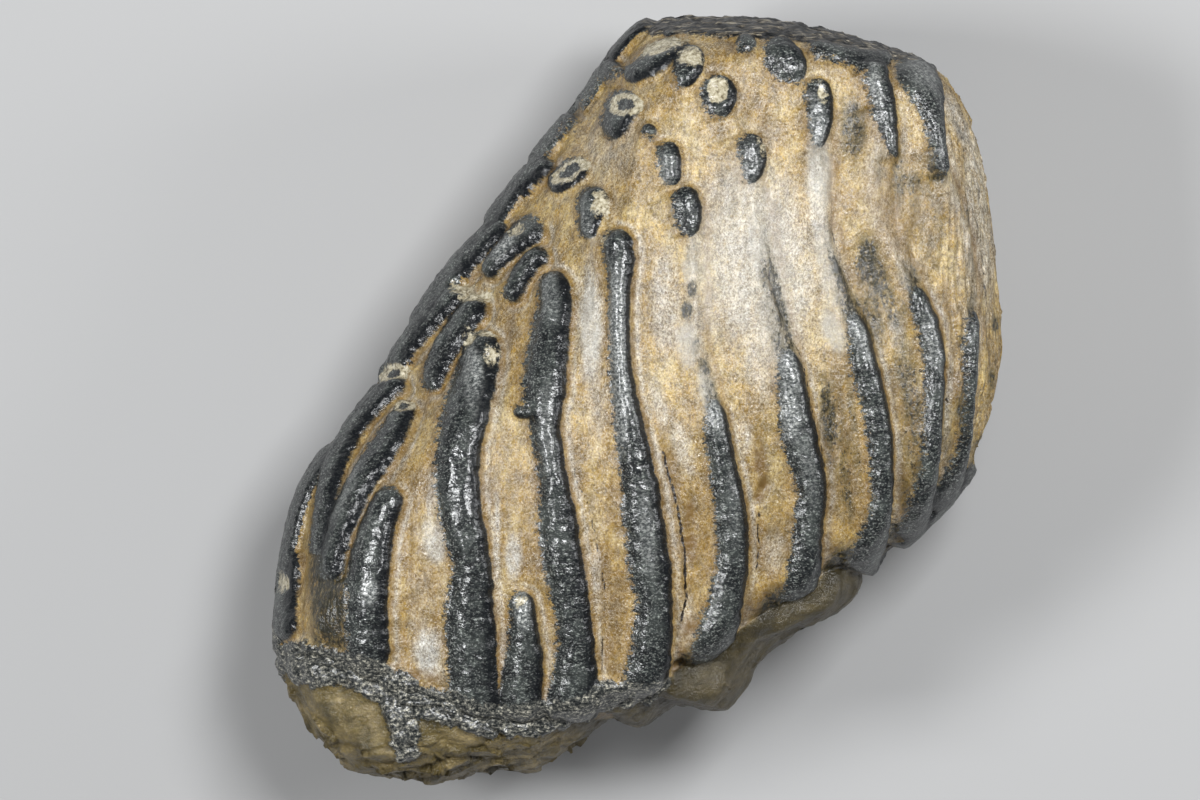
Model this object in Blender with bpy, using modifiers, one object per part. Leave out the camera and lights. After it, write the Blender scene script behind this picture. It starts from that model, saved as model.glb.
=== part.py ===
"""Fossil mammoth molar: one solid, lying on one broad side.

The frame is +Z up with the origin on the floor under the middle of the tooth. +Y points to
the grinding face, -Y to the root, +X to the broken front end and -X to the last plates.
All the tables below are in millimetres.
"""

import math

import bmesh
import bpy
import numpy as np
from mathutils import Vector
from mathutils.bvhtree import BVHTree

MM = 0.001

NAME = "mammoth_tooth"

# Driving dimensions.
REST_CUT = 1.2            # how much of the lowest ridge crests is worn flat where the tooth lies
CROWN_MIDDLE = 40.0       # height of the crown's widest section above the lowest crests
CROWN_RISE = 37.0         # from that section up to the cement of the near side
CROWN_FALL = 38.4         # and down to the cement of the far side
CROWN_DOME = (0.42, 0.25) # share of the rise lost towards the ends of the near side, in X and Y
CROWN_FAR_DOME = (0.2, 0.1)
CROWN_CENTRE = (4.0, 4.0)
ROOT_RISE = 28.0          # the root is narrower than the crown, so the enamel overhangs it
ROOT_FALL = 27.0
ROOT_DOME = (0.3, 0.3)
ROOT_CENTRE = (-22.0, -50.0)
BREAK_SIZE = 13.0         # size of the broken faces on the root
BREAK_DEPTH = 5.0         # how deep the break between them goes

RIDGE_HEIGHT = 2.6        # a plate's edge stands this far out of the cement
KNOB_HEIGHT = 1.8         # the worn tips of single fingers
BURIED_HEIGHT = 1.1       # a plate's edge that the cement still covers
CRUST_HEIGHT = 1.0        # the thick lip where the enamel ends above the root
LOOP_HEIGHT = 1.0         # enamel loops on the grinding face
LOOP_EDGE = 1.1           # half the width of such a loop's enamel
LOOP_POINTS = 48
LOOP_SQUARENESS = 0.5     # 1 is an ellipse, less is a loop with straighter sides
FAR_SHIFT = (0.8, -1.5)   # a plate's far edge lies this far from right under its near edge
OUTLINE_STEP = 1.0        # distance between the points worked out along an outline
BEAD_STEP = 1.2           # and along a bead laid on the crown
BEAD_ROUNDNESS = 4
BLUNTNESS = 0.4           # how far from a bead's end its rounded tip starts
OUTSIDE = 200.0           # far enough out for a ray to start clear of the tooth

SPHERE_SEGMENTS = 192
SPHERE_RINGS = 96
VOXEL = 0.9               # grain of the skin that fuses the pieces
WELD = 0.01               # points closer than this are one
TRIANGLES = 9700
SOFTENING = 0.5           # how far one round of smoothing moves the fused skin
SMOOTH_UNDER = 50         # degrees between faces that still look smooth

# Outline of the crown, seen square on to the near side: x, y, and how far in from the edge
# the side is still rounding over.
CROWN_OUTLINE = [
    (-3.2, 69, 24), (3.6, 75, 17), (14, 76.4, 11), (30, 75.4, 8), (45, 72, 8), (58, 67.2, 8),
    (64, 61.8, 9), (68, 52.5, 11), (70.8, 38, 12), (72.4, 24, 13), (72.9, 10, 13), (71, -1.5, 12),
    (66.6, -12.5, 11), (59, -22, 10), (49, -31, 9), (36, -39.5, 8), (22, -48.5, 8),
    (10, -56, 7), (0, -61.5, 7), (-14, -65.5, 7), (-30, -66.5, 7), (-46, -63, 8),
    (-60, -58, 10), (-71, -50.5, 14), (-70.2, -41, 22), (-68.8, -30, 26), (-65.5, -18, 30),
    (-58, -6.8, 34), (-49.8, 4, 36), (-42.4, 17, 38), (-33.8, 29, 38), (-25.4, 39.6, 37),
    (-17.4, 50.4, 34), (-8.6, 61, 30),
]

# Outline of the broken root, with the same three numbers.
ROOT_OUTLINE = [
    (-70, -50, 8), (-68.6, -58, 7), (-65, -66, 6), (-60.5, -71, 6), (-55, -74.2, 7),
    (-46, -75.2, 8), (-38, -76, 8), (-30, -74, 8), (-20, -73.4, 8), (-12, -68.8, 7),
    (-4, -63.6, 7), (1.6, -65.6, 7), (9, -60.2, 7), (17, -62.8, 7), (22, -58, 7), (24.5, -52.5, 7),
    (31, -46.8, 7), (40, -42.6, 7), (45, -36, 7), (40, -28, 8), (10, -36, 9), (-30, -40, 9),
    (-60, -38, 9),
]

# The long edges of the enamel plates on the near side, from tip to root: x, y, half width.
RIDGES = [
    [(-30, 13.8, 3.1), (-30.8, 8, 4), (-32.5, 2, 4.5), (-34.5, -6, 4.5), (-35.5, -15, 4.5),
     (-34.5, -24, 4.3), (-32.6, -33, 4), (-33, -43, 5), (-32.5, -54, 5), (-31.5, -64, 5)],
    [(-23, -37.8, 2.4), (-22.4, -44, 2.8), (-22.3, -51, 3.8), (-23, -58, 4.4), (-24, -64, 4.6)],
    [(-17, 25.5, 3.2), (-15.8, 20, 3.3), (-16.8, 13, 3.7), (-18.1, 3, 4.3), (-18, -5, 3.1),
     (-16.6, -14, 2.8), (-15.4, -25, 3.8), (-14, -35, 3.9), (-12.3, -45, 3.6),
     (-12.4, -56, 4.8), (-14, -64, 5)],
    [(-4, 34, 2.9), (-3.2, 28.5, 3), (-3.2, 22, 2.2), (-3.2, 12, 2.1), (-2.7, 3, 2.5),
     (-1.2, -6, 3), (0.6, -17, 3.7), (2.1, -29, 4.2), (3.4, -40, 3.8), (2.8, -50, 4.2),
     (0.8, -59, 4.4)],
    [(14, 4, 1.5), (15.6, -3, 2.3), (16.6, -11, 2.8), (18.5, -21, 3.2), (19, -31, 3.3),
     (17.6, -40, 3.5), (15.2, -48, 3.9), (13.3, -55, 3.6)],
    [(27.2, 14, 1.6), (29.8, 8, 2.6), (31, 0, 3.2), (32.4, -8, 3.6), (34.6, -17, 3.1),
     (34, -25, 3), (33.2, -33, 3.4), (31, -43.5, 3.5)],
    [(40.6, 21, 1.8), (43.4, 14, 2.4), (45.6, 5, 2.8), (47.8, -4, 2.6), (48.6, -14, 2.5),
     (48.2, -22, 2.3), (46, -29, 3.1), (43.6, -37, 2.7)],
    [(53, 25, 1.6), (56.5, 18, 2.4), (59, 8, 2.2), (58.6, -4, 1.8), (57.6, -14, 2),
     (55.6, -22, 2.5), (53, -30, 2.6)],
    [(66, 19.5, 1.3), (65.7, 10, 1.4), (65, -3, 1), (63.8, -11, 1.4), (61.4, -18, 2.4),
     (57.6, -25, 2.4)],
    [(67.4, -11.5, 1.6), (65, -15.5, 2), (62, -19, 1.8)],
]

# Fingers of the last plates, from tip to root.
END_FINGERS = [
    [(-61.2, -9, 2), (-65, -15.5, 2.4), (-68, -24, 2.6), (-69.2, -34, 2.6), (-70, -48, 2.6)],
    [(-46, 4.4, 2), (-50.5, 0.5, 2.2), (-56, -6, 2.3), (-60.3, -15, 2.3), (-62, -26, 2.1),
     (-62.6, -31, 1.6)],
    [(-45, -0.6, 2.1), (-49, -8.4, 2.8), (-54.8, -17.3, 3), (-59, -27, 2.8), (-60.4, -36, 2)],
    [(-47.6, -17.5, 2.8), (-50.8, -24, 3.4), (-53, -34, 4.2), (-53.5, -45, 4.2),
     (-52.6, -54, 4.4)],
]

# Fingers of the worn slope above them.
FINGERS = [
    [(-30.8, 20.4, 2.6), (-34.8, 14.2, 3), (-38, 9.2, 2.7), (-40.8, 1.5, 2)],
    [(-34.2, 22.2, 2.2), (-40.2, 16.3, 2.4), (-46.2, 9.7, 2.3), (-51.4, 3.2, 2)],
    [(-26, 35.6, 2.4), (-32, 29.6, 2.7), (-39.2, 23.1, 2.7), (-45.4, 14.3, 2.4)],
    [(-18.4, 35, 3), (-22, 32.9, 3), (-26, 29.2, 2.3), (-29.8, 24.5, 1.7)],
    [(-17.6, 29.8, 2.1), (-21.5, 26.2, 2.2), (-25, 19.4, 1.7)],
    [(3.8, 75.9, 1.6), (0, 74.1, 2), (-3.2, 70.1, 1.8), (-4.8, 66.9, 1.6)],
    [(-2.5, 66.6, 1.6), (-7.4, 63.6, 1.9), (-11.2, 58, 1.8)],
    [(-11.4, 56, 1.5), (-17, 53, 2), (-21.8, 47, 2)],
    [(-16.4, 47.8, 2), (-22.5, 43.2, 2.4), (-29.6, 34.4, 2)],
]

# Short worn tips that show as separate knobs.
KNOBS = [
    [(-2, 64, 1.8), (3.8, 67.4, 2.6), (8.6, 71.4, 2.2)],
    [(11.2, 70.6, 3.4), (10.2, 66, 3), (9.2, 62, 1.4)],
    [(16.2, 64.6, 3.7), (16.4, 60, 3.6), (17.2, 56, 2.2)],
    [(-0.8, 61.4, 3.5), (-3, 57.4, 3.3), (-4.8, 51.8, 2)],
    [(1.2, 54, 1.5), (4, 52.8, 1.4)],
    [(6, 51.4, 2.1), (6.6, 46.8, 2.4), (7, 42.4, 1.8)],
    [(21.8, 52.8, 2.5), (23.2, 48, 2.6), (22.4, 43, 1.5)],
    [(-17, 42, 2.2), (-12.6, 45.4, 2.6), (-9.6, 47.2, 2)],
    [(-8, 42.6, 3.3), (-8.8, 37.4, 2.7), (-9.6, 32, 1.9)],
    [(8.4, 42, 2.8), (10, 38.6, 3), (10.4, 32.4, 2)],
    [(-24.4, -2, 1.3), (-22, -2.4, 1.3), (-19, -1.8, 1.4)],
    [(20, 71.6, 2.2), (23.8, 69.8, 1.8)],
    [(26.4, 71.4, 2.6), (29.6, 67.4, 3.8), (33, 63.8, 2.8)],
    [(34.4, 70, 1.6), (42.8, 68.2, 2), (51, 67.4, 1.4)],
    [(35.6, 64, 2.6), (36.4, 59, 2.8), (36.4, 54, 2.3), (35.8, 50, 1.2)],
    [(43.4, 66, 1.1), (50.2, 65, 1.2)],
    [(46.4, 66, 2.9), (48.2, 62, 2.6), (49.4, 56, 2.4), (50.6, 51, 1.4), (51.2, 48, 0.9)],
    [(53.4, 68.2, 4), (57, 63, 3.9), (58.8, 56, 2.2), (59.8, 50, 1.8), (61, 45, 1.2)],
]

# Edges still under the cement, from a knob down to the ridge that it belongs to.
BURIED = [
    [(10.8, 33, 2.2), (11.2, 26, 2), (11.2, 20, 2), (11.6, 14, 1.8), (12.6, 8, 1.8),
     (14.4, 1, 2)],
    [(22.4, 43, 2.2), (23.2, 37, 2.6), (24.2, 31, 2.6), (25.6, 25, 2.4), (27, 19, 2.2),
     (28.8, 10, 2.4)],
    [(36, 51, 2.6), (35.8, 44, 2.8), (36.2, 37, 2.6), (37.8, 31, 2.4), (39.6, 25, 2.2),
     (42, 17, 2.2)],
    [(47.6, 50, 2.4), (46.8, 44, 2.4), (47.2, 38, 2.2), (48.8, 33, 2.2), (51.8, 27.6, 2.2),
     (55, 21, 2)],
    [(61.6, 43, 1.8), (63.8, 37, 1.6), (65.2, 30, 1.6), (66, 20, 1.6)],
]

# The crust where the enamel ends above the root.
CRUST = [
    (-72.8, -47.9, 2.6), (-70.2, -50.9, 3.4), (-65.2, -52.3, 4), (-59.2, -53.5, 3.8),
    (-52.6, -55, 4), (-48.2, -58.6, 3.8), (-41.2, -60.3, 3.4), (-36.2, -61, 3.6),
    (-31.2, -62.9, 3.4), (-24.2, -63.1, 3.4), (-18.2, -62.7, 3.2), (-11.2, -61.1, 3),
    (-6.2, -58.5, 2.8), (0.8, -57.9, 2.8), (5, -55.9, 2),
]

# Notches between the ends of the ridges, and hollows in the cement between them: x, y, half
# length, half width, tilt in degrees and depth.
HOLLOWS = [
    (8.4, -55, 3.6, 1.6, 70, 2.4), (24.6, -46, 4.2, 2.4, 45, 2.6),
    (38.8, -36.4, 3.8, 2.2, 45, 2.4), (50, -30.4, 2.2, 1.2, 45, 1.8),
    (57, -23.4, 1.6, 0.9, 45, 1.4), (25, -12, 7, 1.4, 97, 0.9),
    (10.8, -25.5, 8, 1.3, 92, 0.8), (38.8, -7, 10, 1.6, 95, 0.9),
]

HOLLOW_SHORE = 0.4        # how far a hollow's sloping edge reaches past its outline

# Plates worn through on the grinding face, as loops of enamel: middle x, half width and half
# length across the crown.
LOOPS = [(8, 2.6, 21), (21, 3, 25), (34.5, 3, 25), (46.5, 2.6, 23), (57, 2.2, 18)]
LOOP_MIDDLE = 37.0

# Where each plate's row of finger tips crosses the worn slope and the last end, and the heights
# of the columns of fingers that the near side hides.
SLOPE_ROWS = [(-3, 70), (-9.5, 62), (-16.5, 53), (-24, 43), (-31.5, 33.5), (-38.5, 25),
              (-44.5, 15), (-50.5, 5.5), (-58, -5)]
SLOPE_LEVELS = (35, 26, 17, 9)
SLOPE_OUTWARD = (-0.8, 0.6, 0)
SLOPE_STAGGER = 0.12      # how far a column's fingers slip against the next, in rows
STAGGER_TURNS = (2.1, 1.7)   # radians of that slip's wave from row to row and column to column
FINGER_SHARES = (0, 0.4, 0.78)   # stops of a finger between its own row and the next
END_FINGER = [(-60, -8), (-66, -18), (-69.5, -31), (-70.5, -46)]
FINGER_HALF_WIDTH = 2.6


def clear_scene():
    for obj in list(bpy.data.objects):
        bpy.data.objects.remove(obj, do_unlink=True)


def smooth_path(points, step, closed=False):
    """Points about one step apart on a smooth curve through the given ones."""
    points = np.array(points, dtype=float)
    count = len(points)
    path = []
    for i in range(count if closed else count - 1):
        places = [i - 1, i, i + 1, i + 2]
        if closed:
            places = [place % count for place in places]
        else:
            places = [min(max(place, 0), count - 1) for place in places]
        before, start, end, after = points[places]
        pieces = max(1, round(np.linalg.norm((end - start)[:2]) / step))
        for t in np.arange(pieces) / pieces:
            bend = 2 * start + (end - before) * t
            bend += (2 * before - 5 * start + 4 * end - after) * t ** 2
            bend += (3 * start - before - 3 * end + after) * t ** 3
            path.append(bend / 2)
    if not closed:
        path.append(points[-1])
    return np.array(path)


def read_points(mesh):
    flat = np.empty(len(mesh.vertices) * 3)
    mesh.vertices.foreach_get("co", flat)
    return flat.reshape(-1, 3)


def pillow(name, outline, centre, rise, fall, near_dome, far_dome):
    """A sphere drawn out until its waist follows the outline and its two sides are broad."""
    bpy.ops.mesh.primitive_uv_sphere_add(segments=SPHERE_SEGMENTS, ring_count=SPHERE_RINGS, radius=1)
    obj = bpy.context.object
    obj.name = name
    edge = smooth_path(outline, OUTLINE_STEP, closed=True)
    edge_angle = np.arctan2(edge[:, 1] - centre[1], edge[:, 0] - centre[0])
    order = np.argsort(edge_angle)
    edge_reach = np.hypot(edge[:, 0] - centre[0], edge[:, 1] - centre[1])

    x, y, z = read_points(obj.data).T
    angle = np.arctan2(y, x)
    waist = np.minimum(np.hypot(x, y), 1)
    reach = np.interp(angle, edge_angle[order], edge_reach[order], period=math.tau)
    width = np.interp(angle, edge_angle[order], edge[order, 2], period=math.tau)
    curl = 1 - np.clip(reach * (1 - waist) / width, 0, 1)
    near = z > 0
    drop_x, drop_y = (np.where(near, near_dome[axis], far_dome[axis]) for axis in (0, 1))
    drop = waist ** 2 * (drop_x * np.cos(angle) ** 2 + drop_y * np.sin(angle) ** 2)
    height = np.sqrt(1 - curl ** 2) * (1 - drop)
    side = np.where(near, rise, -fall) * (waist < 1)
    moved = np.stack([
        centre[0] + reach * waist * np.cos(angle),
        centre[1] + reach * waist * np.sin(angle),
        CROWN_MIDDLE + side * height,
    ], axis=1)
    obj.data.vertices.foreach_set("co", (moved * MM).ravel())
    obj.data.update()
    return obj


def broken(obj):
    """Rough broken faces all over a piece."""
    pattern = bpy.data.textures.new("broken", "VORONOI")
    pattern.noise_scale = BREAK_SIZE * MM
    roughen = obj.modifiers.new("Break", "DISPLACE")
    roughen.texture = pattern
    roughen.texture_coords = "LOCAL"
    roughen.strength = BREAK_DEPTH * MM
    roughen.mid_level = 0.5
    return to_mesh(obj)


def surface_from(tree, x, y, z, direction):
    """Where a ray from outside meets the crown, or the nearest point beside its waist."""
    where, normal, _, _ = tree.ray_cast(Vector((x, y, z)) * MM, Vector(direction))
    if where is None:
        where, normal, _, _ = tree.find_nearest(Vector((x, y, CROWN_MIDDLE)) * MM)
    return where / MM, normal


def bead(name, places, half_widths, height, closed=False):
    """A rounded ridge laid on the surface: a tube sunk until only its crest stands out."""
    curve = bpy.data.curves.new(name, "CURVE")
    curve.dimensions = "3D"
    curve.bevel_depth = MM
    curve.bevel_resolution = BEAD_ROUNDNESS
    curve.use_fill_caps = True
    spline = curve.splines.new("POLY")
    spline.points.add(len(places) - 1)
    spline.use_cyclic_u = closed
    for point, (where, normal), half_width in zip(spline.points, places, half_widths):
        rise = min(height, half_width)
        radius = (half_width ** 2 + rise ** 2) / (2 * rise)
        centre = (where + normal * (rise - radius)) * MM
        point.co = (*centre, 1)
        point.radius = radius
    obj = bpy.data.objects.new(name, curve)
    bpy.context.collection.objects.link(obj)
    return obj


def round_ends(path):
    """The half widths along a path, drawn in to a round tip at both ends."""
    run = np.concatenate([[0], np.cumsum(np.linalg.norm(np.diff(path[:, :2], axis=0), axis=1))])
    from_end = np.minimum(run, run[-1] - run)
    tip = 1 - np.clip((from_end + BLUNTNESS) / path[:, 2], 0, 1)
    return path[:, 2] * np.sqrt(1 - tip ** 2)


def lay_ridge(name, tree, points, height, side):
    """One ridge on the near side (side 1) or, a little shifted, on the far side (side -1)."""
    path = smooth_path(points, BEAD_STEP)
    shift_x, shift_y = (0, 0) if side > 0 else FAR_SHIFT
    places = [
        surface_from(tree, x + shift_x, y + shift_y, OUTSIDE * side, (0, 0, -side))
        for x, y, _ in path
    ]
    return bead(name, places, round_ends(path), height)


def lay_side(tree, side):
    """Everything that stands out of the near side (1) or the far side (-1)."""
    edges = RIDGES + END_FINGERS + (FINGERS if side > 0 else [])
    beads = [lay_ridge("ridge", tree, points, RIDGE_HEIGHT, side) for points in edges]
    beads += [lay_ridge("knob", tree, points, KNOB_HEIGHT, side) for points in KNOBS]
    beads += [lay_ridge("buried", tree, points, BURIED_HEIGHT, side) for points in BURIED]
    beads.append(lay_ridge("crust", tree, CRUST, CRUST_HEIGHT, side))
    return beads


def lay_slope_finger(name, tree, corners, level):
    """One finger of the slope's hidden columns, running down the slope at one height."""
    path = smooth_path([(x, y, FINGER_HALF_WIDTH) for x, y in corners], BEAD_STEP)
    outward = np.array(SLOPE_OUTWARD)
    places = []
    for x, y, _ in path:
        start = np.array((x, y, level)) + outward * OUTSIDE
        places.append(surface_from(tree, *start, -outward))
    return bead(name, places, round_ends(path), RIDGE_HEIGHT)


def slope_fingers(tree):
    """The hidden columns of fingers, each column a little staggered against the next."""
    fingers = []
    row_turn, column_turn = STAGGER_TURNS
    for column, level in enumerate(SLOPE_LEVELS):
        for row, (start, end) in enumerate(zip(SLOPE_ROWS, SLOPE_ROWS[1:])):
            start, end = np.array(start), np.array(end)
            slip = SLOPE_STAGGER * math.sin(row_turn * row + column_turn * column)
            corners = [start + (end - start) * (slip + share) for share in FINGER_SHARES]
            fingers.append(lay_slope_finger("slope_finger", tree, corners, level))
        if level > SLOPE_LEVELS[-1]:
            fingers.append(lay_slope_finger("end_finger", tree, END_FINGER, level))
    return fingers


def lay_loop(tree, middle, half_width, half_length):
    """One worn plate on the grinding face, a long narrow loop across the crown."""
    turns = np.linspace(0, math.tau, LOOP_POINTS, endpoint=False)
    swing = np.sign(np.cos(turns)) * np.abs(np.cos(turns)) ** LOOP_SQUARENESS
    across = middle + half_width * swing
    along = LOOP_MIDDLE + half_length * np.sin(turns)
    places = [surface_from(tree, x, OUTSIDE, z, (0, -1, 0)) for x, z in zip(across, along)]
    return bead("loop", places, [LOOP_EDGE] * LOOP_POINTS, LOOP_HEIGHT, closed=True)


def to_mesh(obj):
    """The object as a plain mesh, with a curve's caps welded on."""
    graph = bpy.context.evaluated_depsgraph_get()
    mesh = bpy.data.meshes.new_from_object(obj.evaluated_get(graph))
    shape = bmesh.new()
    shape.from_mesh(mesh)
    bmesh.ops.remove_doubles(shape, verts=shape.verts, dist=WELD * MM)
    shape.to_mesh(mesh)
    shape.free()
    solid = bpy.data.objects.new(obj.name, mesh)
    solid.matrix_world = obj.matrix_world
    bpy.context.collection.objects.link(solid)
    bpy.data.objects.remove(obj)
    return solid


def fuse(pieces):
    """All the pieces as one closed skin."""
    bpy.ops.object.select_all(action="DESELECT")
    for piece in pieces:
        piece.select_set(True)
    bpy.context.view_layer.objects.active = pieces[0]
    bpy.ops.object.join()
    tooth = bpy.context.object
    remesh = tooth.modifiers.new("Fuse", "REMESH")
    remesh.mode = "VOXEL"
    remesh.voxel_size = VOXEL * MM
    smooth = tooth.modifiers.new("Soften", "SMOOTH")
    smooth.factor = SOFTENING
    smooth.iterations = 1
    return to_mesh(tooth)


def sink_hollows(obj):
    """Press the hollows into both broad sides."""
    points = read_points(obj.data) / MM
    normals = np.array([vertex.normal for vertex in obj.data.vertices])
    for side, (shift_x, shift_y) in ((1, (0, 0)), (-1, FAR_SHIFT)):
        facing = normals[:, 2] * side > 0
        for x, y, long, short, tilt, depth in HOLLOWS:
            turn = math.radians(tilt)
            dx = points[:, 0] - x - shift_x
            dy = points[:, 1] - y - shift_y
            lengthways = (dx * math.cos(turn) + dy * math.sin(turn)) / long
            sideways = (dy * math.cos(turn) - dx * math.sin(turn)) / short
            share = np.clip(1 + HOLLOW_SHORE - np.hypot(lengthways, sideways), 0, 1) * facing
            points -= normals * (depth * share)[:, None]
    obj.data.vertices.foreach_set("co", (points * MM).ravel())
    obj.data.update()


def thin_out(obj):
    """Fewer triangles, spent where the surface bends most."""
    obj.data.calc_loop_triangles()
    decimate = obj.modifiers.new("Thin out", "DECIMATE")
    decimate.ratio = TRIANGLES / len(obj.data.loop_triangles)
    return to_mesh(obj)


def cut_rest_face(obj):
    """Wear the lowest crests flat and set the tooth down on them."""
    shape = bmesh.new()
    shape.from_mesh(obj.data)
    lowest = min(vert.co.z for vert in shape.verts)
    floor = lowest + REST_CUT * MM
    geometry = shape.verts[:] + shape.edges[:] + shape.faces[:]
    bmesh.ops.bisect_plane(
        shape, geom=geometry, dist=WELD * MM / 100, plane_co=(0, 0, floor), plane_no=(0, 0, 1),
        clear_inner=True)
    rim = [edge for edge in shape.edges if edge.is_boundary]
    bmesh.ops.holes_fill(shape, edges=rim, sides=0)
    bmesh.ops.translate(shape, verts=shape.verts, vec=(0, 0, -floor))
    bmesh.ops.triangulate(shape, faces=shape.faces)
    shape.to_mesh(obj.data)
    shape.free()


def fossil_material():
    """Brown, a little shiny."""
    material = bpy.data.materials.new("fossil tooth")
    material.use_nodes = True
    shader = material.node_tree.nodes["Principled BSDF"]
    shader.inputs["Base Color"].default_value = (0.24, 0.17, 0.09, 1)
    shader.inputs["Roughness"].default_value = 0.35
    shader.inputs["Metallic"].default_value = 0
    return material


def build_tooth():
    crown = pillow("crown", CROWN_OUTLINE, CROWN_CENTRE, CROWN_RISE, CROWN_FALL, CROWN_DOME,
                   CROWN_FAR_DOME)
    root = pillow("root", ROOT_OUTLINE, ROOT_CENTRE, ROOT_RISE, ROOT_FALL, ROOT_DOME, ROOT_DOME)
    tree = BVHTree.FromObject(crown, bpy.context.evaluated_depsgraph_get())
    beads = lay_side(tree, 1) + lay_side(tree, -1) + slope_fingers(tree)
    beads += [lay_loop(tree, *loop) for loop in LOOPS]
    tooth = fuse([crown, broken(root)] + [to_mesh(obj) for obj in beads])
    sink_hollows(tooth)
    tooth = thin_out(tooth)
    cut_rest_face(tooth)
    return tooth


def main():
    clear_scene()
    collection = bpy.data.collections.new(NAME)
    bpy.context.scene.collection.children.link(collection)
    layer = bpy.context.view_layer.layer_collection.children[NAME]
    bpy.context.view_layer.active_layer_collection = layer
    tooth = build_tooth()
    tooth.name = NAME
    tooth.data.name = NAME
    tooth.data.materials.clear()
    tooth.data.materials.append(fossil_material())
    tooth.data.shade_smooth()
    tooth.data.set_sharp_from_angle(angle=math.radians(SMOOTH_UNDER))


main()
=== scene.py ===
"""Looks of the fossil mammoth molar, lying on one broad side and seen from straight above.

The tooth is modelled again here from the same named sizes as its solid, at a much finer grain.
The crown and root are fused, then every plate edge, finger, worn tip, crack and hollow is raised
or sunk in the skin, and the same fields colour it. The tooth's tables are in millimetres, with +X
to the right and +Y up the tooth, and a width is always half of the whole.
"""

import math

import bpy
import numpy as np
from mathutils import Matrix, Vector, noise
from mathutils.bvhtree import BVHTree


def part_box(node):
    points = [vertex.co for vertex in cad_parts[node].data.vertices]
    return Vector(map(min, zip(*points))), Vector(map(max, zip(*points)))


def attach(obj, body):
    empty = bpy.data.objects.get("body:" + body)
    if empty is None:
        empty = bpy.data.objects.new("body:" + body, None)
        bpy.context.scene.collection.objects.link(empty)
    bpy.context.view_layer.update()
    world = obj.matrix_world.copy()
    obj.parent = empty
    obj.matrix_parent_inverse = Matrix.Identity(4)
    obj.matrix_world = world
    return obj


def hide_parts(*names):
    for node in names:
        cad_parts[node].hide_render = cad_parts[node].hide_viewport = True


MM = 0.001
NODE = "mammoth_tooth"

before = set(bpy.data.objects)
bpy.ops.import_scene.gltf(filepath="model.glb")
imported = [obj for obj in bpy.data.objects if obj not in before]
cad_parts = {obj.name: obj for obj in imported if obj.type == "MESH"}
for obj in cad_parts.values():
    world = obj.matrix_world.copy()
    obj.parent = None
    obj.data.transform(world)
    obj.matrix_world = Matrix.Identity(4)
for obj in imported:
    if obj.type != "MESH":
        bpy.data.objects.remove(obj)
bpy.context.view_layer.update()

# ---- sizes of the solid, repeated

CROWN_MIDDLE = 40.0  # height of the crown's widest section
CROWN_RISE = 37.0  # from there up to the near side's cement
CROWN_FALL = 38.4  # and down to the far side's
CROWN_DOME = (0.42, 0.25)  # share of the rise lost towards the ends, in X and Y
CROWN_FAR_DOME = (0.2, 0.1)
CROWN_CENTRE = (4.0, 4.0)
ROOT_RISE = 28.0
ROOT_FALL = 27.0
ROOT_DOME = (0.3, 0.3)
ROOT_CENTRE = (-22.0, -50.0)
RIDGE_HEIGHT = 2.6  # a plate's edge above the cement
KNOB_HEIGHT = 1.8
BURIED_HEIGHT = 1.1  # a plate's edge that the cement still covers
CRUST_HEIGHT = 1.0  # the lip where the enamel ends above the root
RIM_HEIGHT = 0.9  # the broken layers along the grinding face's rim
LOOP_HEIGHT = 1.0
LOOP_EDGE = 1.1  # half the width of a loop's enamel
LOOP_POINTS = 120
LOOP_SQUARENESS = 0.5  # 1 is an ellipse, less has straighter sides
FAR_SHIFT = (0.8, -1.5)  # from a plate's near edge to its far edge

# Outlines: x, y, and how far in from the edge the side is still rounding over.
CROWN_OUTLINE = [
    (-3.2, 69, 24), (3.6, 75, 17), (14, 76.4, 11), (30, 75.4, 8), (45, 72, 8), (58, 67.2, 8),
    (64, 61.8, 9), (68, 52.5, 11), (70.8, 38, 12), (72.4, 24, 13), (72.9, 10, 13), (71, -1.5, 12),
    (66.6, -12.5, 11), (59, -22, 10), (49, -31, 9), (36, -39.5, 8), (22, -48.5, 8),
    (10, -56, 7), (0, -61.5, 7), (-14, -65.5, 7), (-30, -66.5, 7), (-46, -63, 8),
    (-60, -58, 10), (-71, -50.5, 14), (-70.2, -41, 22), (-68.8, -30, 26), (-65.5, -18, 30),
    (-58, -6.8, 34), (-49.8, 4, 36), (-42.4, 17, 38), (-33.8, 29, 38), (-25.4, 39.6, 37),
    (-17.4, 50.4, 34), (-8.6, 61, 30),
]
ROOT_OUTLINE = [
    (-70, -50, 8), (-68.6, -58, 7), (-65, -66, 6), (-60.5, -71, 6), (-55, -74.2, 7),
    (-46, -75.2, 8), (-38, -76, 8), (-30, -74, 8), (-20, -73.4, 8), (-12, -68.8, 7),
    (-4, -63.6, 7), (1.6, -65.6, 7), (9, -60.2, 7), (17, -62.8, 7), (22, -58, 7), (24.5, -52.5, 7),
    (31, -46.8, 7), (40, -42.6, 7), (45, -36, 7), (40, -28, 8), (10, -36, 9), (-30, -40, 9),
    (-60, -38, 9),
]

# ---- plate edges: x, y and half width at each stop

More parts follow.
